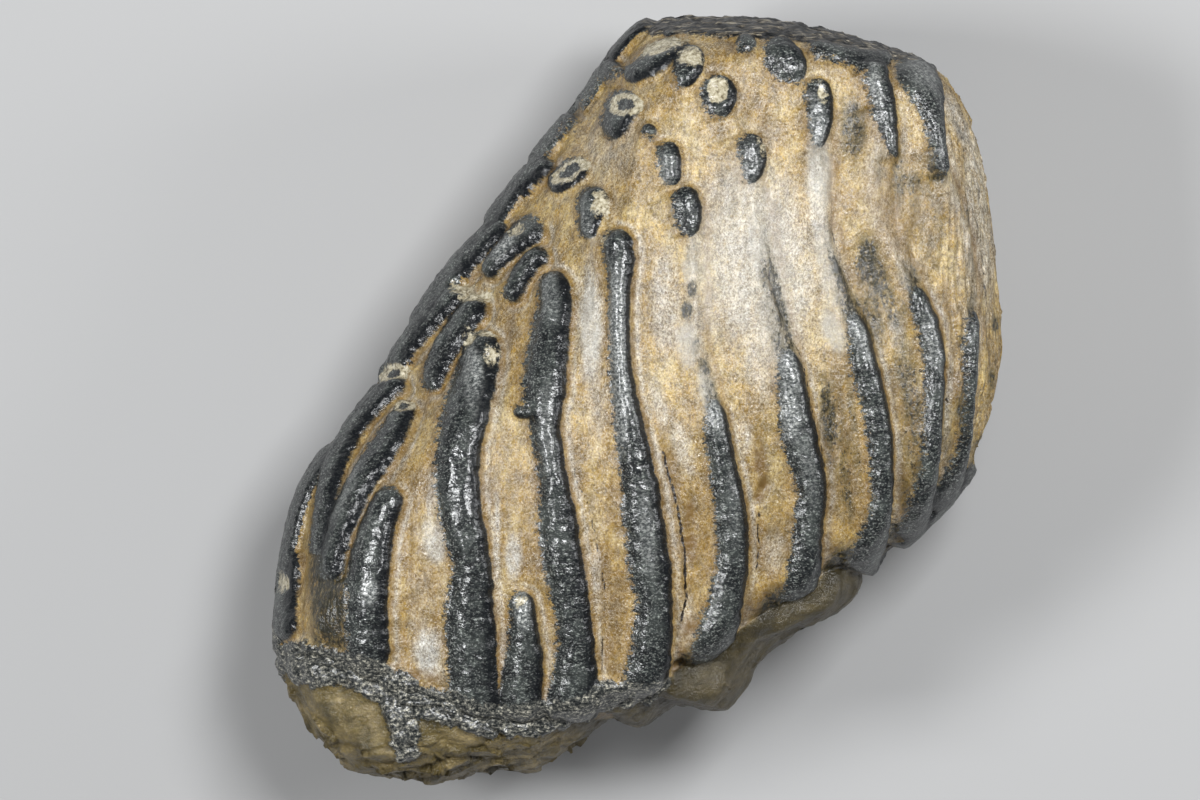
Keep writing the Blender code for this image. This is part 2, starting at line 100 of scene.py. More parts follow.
RIDGES = [
    [(-30, 13.8, 3.1), (-30.8, 8, 4), (-32.5, 2, 4.5), (-34.5, -6, 4.5), (-35.5, -15, 4.5),
     (-34.5, -24, 4.3), (-32.6, -33, 4), (-33, -43, 5), (-32.5, -54, 5), (-31.5, -64, 5)],
    [(-23, -37.8, 2.4), (-22.4, -44, 2.8), (-22.3, -51, 3.8), (-23, -58, 4.4), (-24, -64, 4.6)],
    [(-17, 25.5, 3.2), (-15.8, 20, 3.3), (-16.8, 13, 3.7), (-18.1, 3, 4.3), (-18, -5, 3.1),
     (-16.6, -14, 2.8), (-15.4, -25, 3.8), (-14, -35, 3.9), (-12.3, -45, 3.6), (-12.4, -56, 4.8),
     (-14, -64, 5)],
    [(-4, 34, 2.9), (-3.2, 28.5, 3), (-3.2, 22, 2.2), (-3.2, 12, 2.1), (-2.7, 3, 2.5),
     (-1.2, -6, 3), (0.6, -17, 3.7), (2.1, -29, 4.2), (3.4, -40, 3.8), (2.8, -50, 4.2),
     (0.8, -59, 4.4)],
    [(14, 4, 1.5), (15.6, -3, 2.3), (16.6, -11, 2.8), (18.5, -21, 3.2), (19, -31, 3.3),
     (17.6, -40, 3.5), (15.2, -48, 3.9), (13.3, -55, 3.6)],
    [(27.2, 14, 1.6), (29.8, 8, 2.6), (31, 0, 3.2), (32.4, -8, 3.6), (34.6, -17, 3.1), (34, -25, 3),
     (33.2, -33, 3.4), (31, -43.5, 3.5)],
    [(40.6, 21, 1.8), (43.4, 14, 2.4), (45.6, 5, 2.8), (47.8, -4, 2.6), (48.6, -14, 2.5),
     (48.2, -22, 2.3), (46, -29, 3.1), (43.6, -37, 2.7)],
    [(53, 25, 1.6), (56.5, 18, 2.4), (59, 8, 2.2), (58.6, -4, 1.8), (57.6, -14, 2),
     (55.6, -22, 2.5), (53, -30, 2.6)],
    [(66, 19.5, 1.3), (65.7, 10, 1.4), (65, -3, 1), (63.8, -11, 1.4), (61.4, -18, 2.4),
     (57.6, -25, 2.4)],
    [(67.4, -11.5, 1.6), (65, -15.5, 2), (62, -19, 1.8)],
]
# Over this length a ridge rises out of the cement at its tip.
RIDGE_FADES = (0, 0, 0, 0, 9, 10, 9, 7, 4, 2)
END_FINGERS = [
    [(-61.2, -9, 2), (-65, -15.5, 2.4), (-68, -24, 2.6), (-69.2, -34, 2.6), (-70, -48, 2.6)],
    [(-46, 4.4, 2), (-50.5, 0.5, 2.2), (-56, -6, 2.3), (-60.3, -15, 2.3), (-62, -26, 2.1),
     (-62.6, -31, 1.6)],
    [(-45, -0.6, 2.1), (-49, -8.4, 2.8), (-54.8, -17.3, 3), (-59, -27, 2.8), (-60.4, -36, 2)],
    [(-47.6, -17.5, 2.8), (-50.8, -24, 3.4), (-53, -34, 4.2), (-53.5, -45, 4.2), (-52.6, -54, 4.4)],
]
FINGERS = [
    [(-30.8, 20.4, 2.6), (-34.8, 14.2, 3), (-38, 9.2, 2.7), (-40.8, 1.5, 2)],
    [(-34.2, 22.2, 2.2), (-40.2, 16.3, 2.4), (-46.2, 9.7, 2.3), (-51.4, 3.2, 2)],
    [(-26, 35.6, 2.4), (-32, 29.6, 2.7), (-39.2, 23.1, 2.7), (-45.4, 14.3, 2.4)],
    [(-18.4, 35, 3), (-22, 32.9, 3), (-26, 29.2, 2.3), (-29.8, 24.5, 1.7)],
    [(-17.6, 29.8, 2.1), (-21.5, 26.2, 2.2), (-25, 19.4, 1.7)],
    [(3.8, 75.9, 1.6), (0, 74.1, 2), (-3.2, 70.1, 1.8), (-4.8, 66.9, 1.6)],
    [(-2.5, 66.6, 1.6), (-7.4, 63.6, 1.9), (-11.2, 58, 1.8)],
    [(-11.4, 56, 1.5), (-17, 53, 2), (-21.8, 47, 2)],
    [(-16.4, 47.8, 2), (-22.5, 43.2, 2.4), (-29.6, 34.4, 2)],
]
KNOBS = [
    [(-2, 64, 1.8), (3.8, 67.4, 2.6), (8.6, 71.4, 2.2)],
    [(11.2, 70.6, 3.4), (10.2, 66, 3), (9.2, 62, 1.4)],
    [(16.2, 64.6, 3.7), (16.4, 60, 3.6), (17.2, 56, 2.2)],
    [(-0.8, 61.4, 3.5), (-3, 57.4, 3.3), (-4.8, 51.8, 2)],
    [(1.2, 54, 1.5), (4, 52.8, 1.4)],
    [(6, 51.4, 2.1), (6.6, 46.8, 2.4), (7, 42.4, 1.8)],
    [(21.8, 52.8, 2.5), (23.2, 48, 2.6), (22.4, 43, 1.5)],
    [(-17, 42, 2.2), (-12.6, 45.4, 2.6), (-9.6, 47.2, 2)],
    [(-8, 42.6, 3.3), (-8.8, 37.4, 2.7), (-9.6, 32, 1.9)],
    [(8.4, 42, 2.8), (10, 38.6, 3), (10.4, 32.4, 2)],
    [(-24.4, -2, 1.3), (-22, -2.4, 1.3), (-19, -1.8, 1.4)],
    [(20, 71.6, 2.2), (23.8, 69.8, 1.8)],
    [(26.4, 71.4, 2.6), (29.6, 67.4, 3.8), (33, 63.8, 2.8)],
    [(34.4, 70, 1.6), (42.8, 68.2, 2), (51, 67.4, 1.4)],
    [(35.6, 64, 2.6), (36.4, 59, 2.8), (36.4, 54, 2.3), (35.8, 50, 1.2)],
    [(43.4, 66, 1.1), (50.2, 65, 1.2)],
    [(46.4, 66, 2.9), (48.2, 62, 2.6), (49.4, 56, 2.4), (50.6, 51, 1.4), (51.2, 48, 0.9)],
    [(53.4, 68.2, 4), (57, 63, 3.9), (58.8, 56, 2.2), (59.8, 50, 1.8), (61, 45, 1.2)],
]
# Edges still under the cement, from a knob down to the ridge that it belongs to.
BURIED = [
    [(10.8, 33, 2.2), (11.2, 26, 2), (11.2, 20, 2), (11.6, 14, 1.8), (12.6, 8, 1.8),
     (14.4, 1, 2)],
    [(22.4, 43, 2.2), (23.2, 37, 2.6), (24.2, 31, 2.6), (25.6, 25, 2.4), (27, 19, 2.2),
     (28.8, 10, 2.4)],
    [(36, 51, 2.6), (35.8, 44, 2.8), (36.2, 37, 2.6), (37.8, 31, 2.4), (39.6, 25, 2.2),
     (42, 17, 2.2)],
    [(47.6, 50, 2.4), (46.8, 44, 2.4), (47.2, 38, 2.2), (48.8, 33, 2.2), (51.8, 27.6, 2.2),
     (55, 21, 2)],
    [(61.6, 43, 1.8), (63.8, 37, 1.6), (65.2, 30, 1.6), (66, 20, 1.6)],
]

# The loops of the grinding face: where each lies along X, half its width and half its length.
LOOPS = [(8, 2.6, 21), (21, 3, 25), (34.5, 3, 25), (46.5, 2.6, 23), (57, 2.2, 18)]
LOOP_MIDDLE = 37.0  # the height at which they are widest
# Down the left slope a column of fingers runs along these points at each of these heights.
SLOPE_ROWS = [(-3, 70), (-9.5, 62), (-16.5, 53), (-24, 43), (-31.5, 33.5), (-38.5, 25),
              (-44.5, 15), (-50.5, 5.5), (-58, -5)]
SLOPE_LEVELS = (35, 26, 17, 9)
SLOPE_OUTWARD = (-0.8, 0.6, 0)
SLOPE_STAGGER = 0.12  # how far fingers slip along their column, as a share of a row
STAGGER_TURNS = (2.1, 1.7)  # how the slip changes from row to row and from column to column
FINGER_SHARES = (0, 0.4, 0.78)
FINGER_HALF_WIDTH = 2.6
END_FINGER = [(-60, -8), (-66, -18), (-69.5, -31), (-70.5, -46)]

# The crust where the enamel ends above the root, and the broken layers of the grinding rim.
CRUST = [
    (-72.8, -47.9, 2.6), (-70.2, -50.9, 3.4), (-65.2, -52.3, 4), (-59.2, -53.5, 3.8),
    (-52.6, -55, 4), (-48.2, -58.6, 3.8), (-41.2, -60.3, 3.4), (-36.2, -61, 3.6),
    (-31.2, -62.9, 3.4), (-24.2, -63.1, 3.4), (-18.2, -62.7, 3.2), (-11.2, -61.1, 3),
    (-6.2, -58.5, 2.8), (0.8, -57.9, 2.8), (5, -55.9, 2),
]
DRIP = [(-47, -57, 3.6), (-46.8, -62, 3.2), (-46, -67, 3), (-45.4, -69.6, 2.4)]
RIM = [
    (4, 73.8, 1.6), (8, 74.9, 2.2), (14, 74.8, 2.6), (22, 74.4, 3), (32, 73.5, 2.8),
    (42, 71.2, 2.6), (50, 69.4, 1.8), (55, 67.8, 1.6),
]

# ---- marks: x, y, half length, half width and tilt

# Worn tips end with the share of the tip that is a pit, and whether the pit is dark.
WORN_TIPS = [
    (5.4, 69.9, 4.4, 1.8, 20, 0, 0), (11, 67.8, 2.4, 1.9, 0, 0, 0),
    (16.2, 61.6, 2.7, 2.2, 100, 0.5, 0), (-1.6, 58.6, 2.9, 2.5, 0, 0.5, 1),
    (-12.6, 45.5, 4.2, 1.9, 33, 0.55, 1), (-22.4, 33.1, 1.9, 1, 20, 0, 0),
    (-6.6, 38.7, 2.7, 1.3, 95, 0, 0), (-47.6, 4.7, 3, 1.5, 30, 0.45, 1),
    (-45.8, -1.7, 2, 1.8, 0, 0.5, 1), (-69, -36.7, 1.8, 1.2, 95, 0, 0),
    (-23, -39.6, 1.2, 0.8, 20, 0, 0), (-31.2, 20.5, 3, 1.3, 15, 0, 0),
    (-34.2, 22.1, 1.7, 1.2, 20, 0, 0), (-32.2, 11.6, 1.7, 1.1, 60, 0, 0),
    (-29.6, 13, 2, 0.8, -8, 0, 0), (-27.9, 8.4, 2.2, 0.8, 80, 0, 0),
    (36.6, 61, 2, 0.9, 110, 0, 0), (24.8, 50, 2.6, 0.5, 105, 0, 0),
    (-6, 32, 0.9, 0.7, 0, 0, 0),
]
# The next four kinds end with their strength. These are olive smears and dark grains; those in the
# hollows under the ridge ends at the bottom and in the crease at x 52, y 45 are painted shade.
MOTTLES = [
    (39.4, 13.6, 4.6, 1.8, 108, 0.25), (27.2, -41, 5.6, 2.8, 62, 1), (40.6, -32.6, 5, 2.6, 58, 1),
    (28.6, 18.7, 15, 1.3, 103, 0.9), (41.2, 21.7, 12, 1.3, 110, 1), (27.4, -16, 16, 3, 95, 0.25),
    (40, -8, 18, 3, 97, 0.5), (55.2, -6, 18, 2.6, 94, 0.6), (53.6, 4, 8, 2, 97, 0.75),
    (38.2, -4, 8, 1.6, 96, 0.9), (41.6, -16, 10, 1, 95, 0.7), (61.6, -6, 9, 1, 92, 0.5),
    (49.6, 21, 9, 1.6, 108, 0.85), (25.8, 24, 6, 1.4, 100, 0.8), (57, 38, 14, 4, 92, 0.35),
    (70, -9, 5, 2.6, 62, 1), (44.6, 16, 7, 2.2, 112, 0.8), (51.6, -26, 3, 1.4, 70, 0.9),
    (53.6, -20, 8, 1.3, 96, 0.5), (10.2, -52, 4, 1.4, 80, 0.8), (45.6, 27.6, 5.6, 2.6, 84, 1),
    (47.6, 24.8, 5, 2.4, 100, 0.9), (47, 17, 6, 2.4, 100, 0.75), (38.4, -3, 10, 1.9, 97, 0.8),
    (43, -5, 14, 0.9, 97, 0.55), (55, -1, 12, 2.2, 94, 0.72), (52, 45, 7, 1.2, 92, 0.7),
    (48.6, 14, 3.6, 1.1, 92, 0.55), (11, 22, 1.9, 1.2, 80, 1), (10, 17.8, 2, 1.5, 95, 1),
    (11.8, 11, 2, 0.9, 80, 0.6), (10.8, 29, 3, 1.1, 90, 0.5), (13.4, 6.5, 2.4, 1.3, 110, 0.8),
    (53, 6, 10, 2.6, 95, 0.45), (43, 54, 7, 2.8, 92, 0.8), (54, 43, 4, 2.6, 0, 0.7),
    (59.6, 46.5, 4.4, 2.4, 90, 0.85), (38, 33.5, 3, 1, 105, 0.5), (-61, -38, 15, 4.6, 92, 1),
    (-60.4, -47, 5, 4, 0, 0.8), (71.8, 15, 2, 0.8, 90, 0.85), (70.9, 4, 2.4, 0.9, 90, 0.75),
    (66, 37.2, 3, 0.5, 92, 0.8), (66.2, 17, 5, 1.2, 92, 0.6), (-45.4, -64.5, 6.4, 3.2, 85, 0.9),
    (35.8, 48, 4, 1.8, 88, 0.45), (48, 47, 4, 1.6, 92, 0.4), (26.6, 20, 10, 1, 106, 0.7),
    (42, 19.5, 3.4, 1.8, 120, 0.6), (54.6, 25, 3, 1.6, 120, 0.7), (67.5, -14, 3.6, 1.8, 60, 0.8),
    (64, -2, 4, 1, 92, 0.7), (-33, 34, 3, 1.6, 40, 0.4), (52, 18, 3, 2, 100, 0.5),
    (27.6, 30, 3, 1, 100, 0.35), (7, 38, 2.4, 0.8, 90, 0.25),
]
# Brown stains, and painted shade in the hollows under the ridge ends at the bottom.
BROWNS_AND_SHADES = [
    (50, 39, 12, 9, 100, 0.4), (14, 58, 16, 9, 0, 0.12), (10.6, -48, 6, 2.6, 85, 0.9),
    (27, -40.6, 6, 3.2, 62, 1), (40.6, -32.4, 5, 2.6, 60, 1), (39, 14, 6, 1.6, 108, 0.3),
    (53.6, -20, 8, 1.8, 96, 0.9), (27.6, -20, 11, 2.4, 94, 0.3), (40.4, -7, 17, 2.6, 97, 0.6),
    (38.4, -22, 12, 2.2, 95, 0.4), (55, -4, 13, 2.4, 94, 0.65), (46, 20, 9, 3.2, 95, 0.6),
    (10.8, -26, 8, 1.5, 92, 0.9), (24.8, -14, 7, 1.7, 97, 0.95), (38.6, -7, 10, 1.8, 95, 0.8),
    (-42.6, -55, 4.4, 1.7, 0, 0.9), (-49, -36, 12, 1.6, 88, 0.55), (-64.4, -44, 4, 1.2, 90, 0.7),
    (-58, -50, 6, 1.1, -12, 0.8), (6.8, -12, 9, 1.4, 105, 0.5), (14.8, -22, 6, 1, 95, 0.5),
    (40.2, 24, 4, 0.9, 108, 0.6), (26.8, 22, 5, 0.8, 108, 0.7), (39, 44, 12, 1, 90, 0.55),
    (51.6, 44, 12, 1.1, 92, 0.65), (52.6, 2, 8, 2, 95, 0.5), (-27.2, -52, 4, 0.8, 90, 0.9),
    (-27.4, -60, 4, 1, 92, 0.9), (9.4, -51, 5, 1.4, 92, 0.8), (-5.4, -50, 5, 1.4, 95, 0.6),
    (38.8, -31.4, 4, 1.8, 60, 0.75), (22.6, -41, 4, 1.4, 70, 0.75), (-40, 5, 9, 1.1, 75, 0.6),
    (-46, -6, 8, 1, 55, 0.5), (-25.4, 12, 9, 0.9, 82, 0.4), (-2, 71, 6, 1.4, 35, 0.5),
    (46, 70.5, 6, 1.1, -18, 0.7), (-10, 12, 10, 0.8, 88, 0.35), (62, 16, 12, 0.9, 92, 0.4),
    (67.6, 4, 9, 0.8, 92, 0.55),
]
# Cream cement; the broad patch at the top centre also paints the sheen of the light there.
PALES_AND_SHEENS = [
    (-6, 50, 9, 6, 60, 0.35), (-9, 16, 13, 2.8, 90, 0.9), (-24.4, -31, 5, 1.8, 90, 0.9),
    (-40, -28, 5, 2.6, 100, 0.8), (-41.4, -50, 5.4, 3, 95, 1), (25, 27, 22, 13, 100, 0.65),
    (-42, -37, 5, 3, 100, 0.25), (-43.2, -44, 4, 2, 92, 0.3), (-39.4, -53.6, 3, 1.5, 110, 0.7),
    (9, -9, 7, 2, 108, 0.6), (21.4, -7, 4, 1.6, 100, 0.6), (-27.7, -30, 14, 0.8, 90, 0.95),
    (-27.6, 2, 11, 0.8, 84, 0.7), (6, 20, 12, 3, 92, 0.6), (24, 6, 8, 2.6, 108, 0.5),
    (68.5, 38, 20, 2.6, 95, 0.7), (61, 52, 10, 2, 110, 0.6), (35.6, 42, 12, 2, 90, 0.7),
    (47, 42, 10, 1.8, 92, 0.5), (-8, 0, 12, 2, 92, 0.3), (4.6, -1, 6, 1.6, 105, 0.6),
    (27.4, -30, 5, 2.2, 88, 0.55), (10, -44, 6, 1.8, 88, 0.55), (-40.5, -20, 8, 1, 88, 0.7),
    (-7.8, -36, 10, 1, 92, 0.5), (56, 20, 4, 1, 110, 0.4), (68, 36, 22, 2.4, 95, 0.4),
    (64, 56, 8, 2, 118, 0.7), (52, 12, 6, 1.4, 105, 0.35), (66, 30, 6, 1.2, 95, 0.4),
]
# Painted sheen and highlights over enamel and cement, with a thin silvery film in places.
SHEENS_AND_FILMS = [
    (-57, -19, 8, 2, 66, 0.3), (14.4, 26, 14, 4, 95, 0.25), (30.2, -2, 6, 1.7, 95, 0.9),
    (-30.2, 3, 6, 1.3, 95, 0.9), (-3, -4, 6, 1.3, 92, 0.8), (-25, 29.6, 3.4, 1.2, 48, 0.9),
    (39, 13.6, 5, 2, 108, 0.8), (-41.4, -50, 5, 2.8, 95, 0.3), (-40, -28, 4.6, 2.2, 100, 0.3),
    (-24.4, -31, 5, 1.7, 90, 0.3), (-9, 15, 10, 2, 90, 0.6), (24, 28, 24, 9, 100, 0.3),
    (-3.4, 14, 13, 1.9, 90, 0.8), (-3, 2, 6, 1.9, 95, 0.7), (14.6, 0, 7, 1.6, 105, 0.8),
    (29.4, 8, 7, 2, 110, 0.7), (43.6, 14, 7, 1.8, 112, 0.65), (-16, 20, 6, 2, 95, 0.4),
    (-31.4, 3, 10, 1.6, 95, 0.5), (19, -20, 9, 1.4, 92, 0.25), (33.4, -12, 9, 1.6, 100, 0.3),
    (2, -26, 9, 1.6, 95, 0.45), (47.4, 62, 5, 1.2, 100, 0.7), (36, 55, 6, 1.6, 92, 0.6),
    (36.4, 45, 9, 2.6, 90, 0.65), (56.4, 64, 4, 2.4, 120, 0.4), (-22.3, -41.6, 3.6, 1.7, 95, 1),
    (-52.4, -37.8, 2.4, 1.6, 75, 1), (10.6, 26, 4, 1.6, 90, 0.5), (10, 11, 5, 2.2, 95, 0.6),
    (24, 30, 12, 2.4, 97, 0.5), (38, 26, 12, 2.2, 100, 0.5), (6, 46, 4, 1.6, 95, 0.4),
    (-8.6, 35, 5, 1.4, 95, 0.4), (-17.6, -6, 9, 1.6, 88, 0.35), (58, 12, 6, 1.4, 105, 0.5),
]
# Places sunk between the ends of the ridges, and small pits, browned as painted shade; the depth in
# mm is last.
HOLLOWS = [
    (8.4, -55, 3.6, 1.6, 70, 2.4), (24.6, -46, 4.2, 2.4, 45, 2.6), (38.8, -36.4, 3.8, 2.2, 45, 2.4),
    (50, -30.4, 2.2, 1.2, 45, 1.8), (57, -23.4, 1.6, 0.9, 45, 1.4), (24.8, -18.4, 3.4, 1.3, 62, 1),
    (25, -12, 7, 1.4, 97, 0.9), (10.8, -25.5, 8, 1.3, 92, 0.8), (38.8, -7, 10, 1.6, 95, 0.9),
    (-44.8, -29, 0.8, 0.5, 90, 0.6), (55.2, 48, 0.7, 0.5, 0, 0.6), (54.8, 31, 3, 1.4, 95, 0.4),
    (-58, -50, 7, 1.2, -12, 0.5), (51.4, 44, 13, 1, 92, 0.6), (39.2, 44, 13, 0.9, 90, 0.5),
]

# ---- cracks and creases: x, y
# The number before a path is its depth in mm.

CRACKS = [
    (0.9, [(4.8, -8), (6.4, -14), (8, -20), (8.9, -26), (9.7, -32), (9.8, -40), (8.4, -46)]),
    (0.5, [(-13.2, -10), (-11.8, -16), (-9.6, -21), (-7.2, -32), (-6.4, -40), (-7, -56)]),
    (0.6, [(24.4, -20), (24.4, -28), (23.8, -36)]),
    (0.5, [(25.4, 27.7), (27.2, 22), (28.8, 17), (30.8, 12), (32.8, 8), (34.4, 0),
           (35.6, -6), (37.2, -12), (37.4, -22)]),
    (0.4, [(38.2, 36), (40.2, 29), (42.4, 23), (45, 15), (48.2, 5), (50, -3)]),
    (0.4, [(51, 31), (54.4, 24.6), (58.6, 18), (61.2, 8), (61.4, -4)]),
    (0.3, [(62.4, 22), (62.8, 12), (62.2, 2), (60.4, -10)]),
    (0.3, [(17.6, 64), (19.6, 58), (21, 53.6)]),
    (0.35, [(66.6, 50), (67.8, 40), (69, 30), (69.6, 18)]),
    (0.3, [(63, 58), (65.4, 50), (66, 42)]),
    (0.3, [(-45.2, -30), (-45.6, -40), (-45.4, -52)]),
]

# ---- how the skin is made

OUTLINE_STEP = 1.0  # distance between the points worked out along an outline
PATH_STEP = 0.6  # and along a path laid on the crown
SPHERE_SEGMENTS = 256
SPHERE_RINGS = 128
ON_WAIST = 1e-5  # nearer its waist than this, a sphere's point isn't raised or sunk
GRAIN = 0.5  # voxel of the fine skin
SOFTENING = 0.5  # how far one round of smoothing moves the fused skin
SMOOTHING = 3  # rounds of it
NORMAL_ROUNDS = 12  # times the skin's normals are evened out, so that seams don't fold
EDGE_ROUNDS = 3  # the same for the heights of edges, so that steep sides aren't ribbed
LEVEL_REACH = 9.0  # a track marks nothing further above or below it than this
LEVEL_WEIGHT = 0.15  # how much height counts in a distance seen from above a broad side
TURNED_AWAY = 0.05  # cosine under which a point faces away from a track or a side
OUTSIDE = 200.0  # far enough out for a ray to start clear of the tooth
BESIDE_SLOPE = 100.0  # the same for rays that meet the slope square on
LOW_BROWNING = (5, -32)  # y where the cement starts to turn browner towards the bottom, and where it is fully so
BROKEN_ROOT = (-18, -38)  # x where the root's broken flat faces begin and are full
FLAKY_ROOT = (-64, -70)  # y where the root's low ledges begin and are full
ROOT_SHADE = (-34, -2)  # x where painted shade on the root, under the crown's overhang, begins and is full
FRONT_END = (56, 67)  # x where the broken front end's coarse fibres begin and are full
EDGE_SOFTNESS = 1.2  # a field falls from 1 to 0 over twice this distance
FEATHERED = 2.2  # the same where cement laps against an edge
LEFT_RAMP = (0.9, 2.6)  # how high cement laps against an edge's left side, and over what width
RIGHT_DIP = (0.55, 1.8)  # how deep it lies along the right side, and over what width
TRIANGLES = 195_000
NEAR_SIDE = 0.1  # upward share of the normal over which a point is on the near side
NEAR_THINNING = 0.25  # how readily the near side's points are merged, where 1 is all others'

# What each point of the skin knows: which surface it is, and how strongly it is marked.
FIELDS = ("enamel", "right", "crest", "flank", "worn", "root", "mottle", "brown", "pale", "sheen_and_film",
          "fibre", "crack", "layers", "crust")


def smooth_path(points, step, closed=False):
    """Points about one step apart on a smooth curve through the given ones."""
    points = np.array(points, dtype=float)
    count = len(points)
    last = count if closed else count - 1
    path = []
    for i in range(last):
        places = [i - 1, i, i + 1, i + 2]
        if closed:
            places = [place % count for place in places]
        else:
            places = [min(max(place, 0), count - 1) for place in places]
        before, start, end, after = points[places]
        pieces = max(1, round(np.linalg.norm((end - start)[:2]) / step))
        for t in np.arange(pieces) / pieces:
            bend = 2 * start + (end - before) * t
            bend += (2 * before - 5 * start + 4 * end - after) * t ** 2
            bend += (3 * start - before - 3 * end + after) * t ** 3
            path.append(bend / 2)
    if not closed:
        path.append(points[-1])
    return np.array(path)


def read(items, name):
    """One vector of every item, in rows."""
    flat = np.empty(len(items) * 3, dtype=np.float32)
    items.foreach_get(name, flat)
    return flat.reshape(-1, 3).astype(float)


def pillow(name, outline, centre, rise, fall, near_dome, far_dome):
    """A sphere drawn out until its waist follows the outline and its two sides are broad."""
    bpy.ops.mesh.primitive_uv_sphere_add(segments=SPHERE_SEGMENTS, ring_count=SPHERE_RINGS)
    obj = bpy.context.object
    obj.name = name
    edge = smooth_path(outline, OUTLINE_STEP, closed=True)
    edge_angle = np.arctan2(edge[:, 1] - centre[1], edge[:, 0] - centre[0])
    edge_reach = np.hypot(edge[:, 0] - centre[0], edge[:, 1] - centre[1])
    order = np.argsort(edge_angle)
    x, y, z = read(obj.data.vertices, "co").T
    angle = np.arctan2(y, x)
    waist = np.minimum(np.hypot(x, y), 1)
    reach = np.interp(angle, edge_angle[order], edge_reach[order], period=math.tau)
    width = np.interp(angle, edge_angle[order], edge[order, 2], period=math.tau)
    curl = 1 - np.clip(reach * (1 - waist) / width, 0, 1)
    near = z > 0
    drop_x, drop_y = (np.where(near, near_dome[axis], far_dome[axis]) for axis in (0, 1))
    drop = waist ** 2 * (drop_x * np.cos(angle) ** 2 + drop_y * np.sin(angle) ** 2)
    height = np.sqrt(1 - curl ** 2) * (1 - drop)
    side = np.where(near, rise, -fall) * (np.abs(z) > ON_WAIST)
    moved = np.stack([
        centre[0] + reach * waist * np.cos(angle),
        centre[1] + reach * waist * np.sin(angle),
        CROWN_MIDDLE + side * height,
    ], axis=1)
    obj.data.vertices.foreach_set("co", (moved * MM).ravel())
    obj.data.update()
    return obj


def to_mesh(obj):
    """The object with its modifiers applied."""
    graph = bpy.context.evaluated_depsgraph_get()
    mesh = bpy.data.meshes.new_from_object(obj.evaluated_get(graph))
    solid = bpy.data.objects.new(obj.name, mesh)
    bpy.context.collection.objects.link(solid)
    bpy.data.objects.remove(obj)
    return solid


def fuse(pieces):
    """The pieces as one closed fine-grained skin."""
    bpy.ops.object.select_all(action="DESELECT")
    for piece in pieces:
        piece.select_set(True)
    bpy.context.view_layer.objects.active = pieces[0]
    bpy.ops.object.join()
    tooth = bpy.context.object
    remesh = tooth.modifiers.new("Fuse", "REMESH")
    remesh.mode = "VOXEL"
    remesh.voxel_size = GRAIN * MM
    smooth = tooth.modifiers.new("Soften", "SMOOTH")
    smooth.factor = SOFTENING
    smooth.iterations = SMOOTHING
    return to_mesh(tooth)


def grain_at(points, size, octaves=3, offset=0.0):
    """Fractal noise from about -1 to 1; size is one lump in mm, or a size for each axis."""
    scaled = points / np.array(size) + offset
    return np.array([noise.fractal(point, 1.0, 2.0, octaves) for point in scaled.tolist()])


def smooth_step(low, high, value):
    """0 at low and 1 at high, with a smooth rise between them."""
    t = np.clip((value - low) / (high - low), 0, 1)
    return t * t * (3 - 2 * t)


class Skin:
    """The fine skin's points, with the fields that raise and colour it."""

    def __init__(self, mesh):
        self.points = read(mesh.vertices, "co") / MM
        count = len(self.points)
        ends = np.empty(len(mesh.edges) * 2, dtype=np.int32)
        mesh.edges.foreach_get("vertices", ends)
        self.starts, self.ends = ends.reshape(-1, 2).T
        self.links = np.bincount(ends, minlength=count)
        normals = read(mesh.vertex_normals, "vector").T
        self.normals = np.stack([self.spread(axis, NORMAL_ROUNDS) for axis in normals], axis=1)
        self.normals /= np.linalg.norm(self.normals, axis=1, keepdims=True)
        self.edge = np.zeros(count)      # height of enamel above the bare crown
        self.bed = np.zeros(count)       # height of cement above the bare crown
        for name in FIELDS:
            setattr(self, name, np.zeros(count))

    def spread(self, values, rounds):
        """The values evened out between neighbouring points."""
        count = len(values)
        for _ in range(rounds):
            around = np.bincount(self.starts, values[self.ends], count)
            around += np.bincount(self.ends, values[self.starts], count)
            values = (values + around / self.links) / 2
        return values

    def most(self, name, which, values):
        """Raise a field to these values at the given points where they are higher."""
        there = getattr(self, name)
        there[which] = np.maximum(there[which], values)


class Track:
    """A path laid on the crown: its points, outward normals, half widths and directions.

    Seen from above a broad side, distances are measured in plan; on the slope and the grinding
    face they are measured on the surface.
    """

    def __init__(self, places, half_widths, fade=0.0, in_plan=True):
        self.points = np.array([where for where, _ in places])
        self.normals = np.array([normal for _, normal in places])
        self.half_widths = np.array(half_widths)
        self.fade = fade
        self.squash = np.array((1, 1, LEVEL_WEIGHT if in_plan else 1))
        along = np.gradient(self.points * self.squash, axis=0)
        self.along = along / np.linalg.norm(along, axis=1, keepdims=True)
        aside = np.cross(self.normals, self.along) * self.squash
        aside *= -1 if aside[:, 0].mean() < 0 else 1
        self.aside = aside / np.linalg.norm(aside, axis=1, keepdims=True)
        steps = np.linalg.norm(np.diff(self.points * self.squash, axis=0), axis=1)
        self.run = np.concatenate([[0], np.cumsum(steps)])

    def from_ends(self, along):
        """How far inside the nearer end a distance along the track is."""
        return np.minimum(along, self.run[-1] - along)


def beside(skin, track, reach):
    """Skin points within reach of a track, with their distances across and along it."""
    path = track.points * track.squash
    spots = skin.points * track.squash
    low = path.min(axis=0) - reach
    high = path.max(axis=0) + reach
    near = np.flatnonzero(((spots > low) & (spots < high)).all(axis=1))
    spots = spots[near]
    square = (spots ** 2).sum(axis=1)[:, None] + (path ** 2).sum(axis=1)[None, :]
    square -= 2 * spots @ path.T
    best = square.argmin(axis=1)
    gap = np.sqrt(np.maximum(square[np.arange(len(near)), best], 0))
    facing = (skin.normals[near] * track.normals[best]).sum(axis=1)
    level = np.abs(skin.points[near, 2] - track.points[best, 2])
    keep = (gap < reach) & (facing > TURNED_AWAY) & (level < LEVEL_REACH)
    near, best, spots = near[keep], best[keep], spots[keep]
    offset = spots - path[best]
    across = (offset * track.aside[best]).sum(axis=1)
    along = track.run[best] + (offset * track.along[best]).sum(axis=1)
    return near, across, along, best


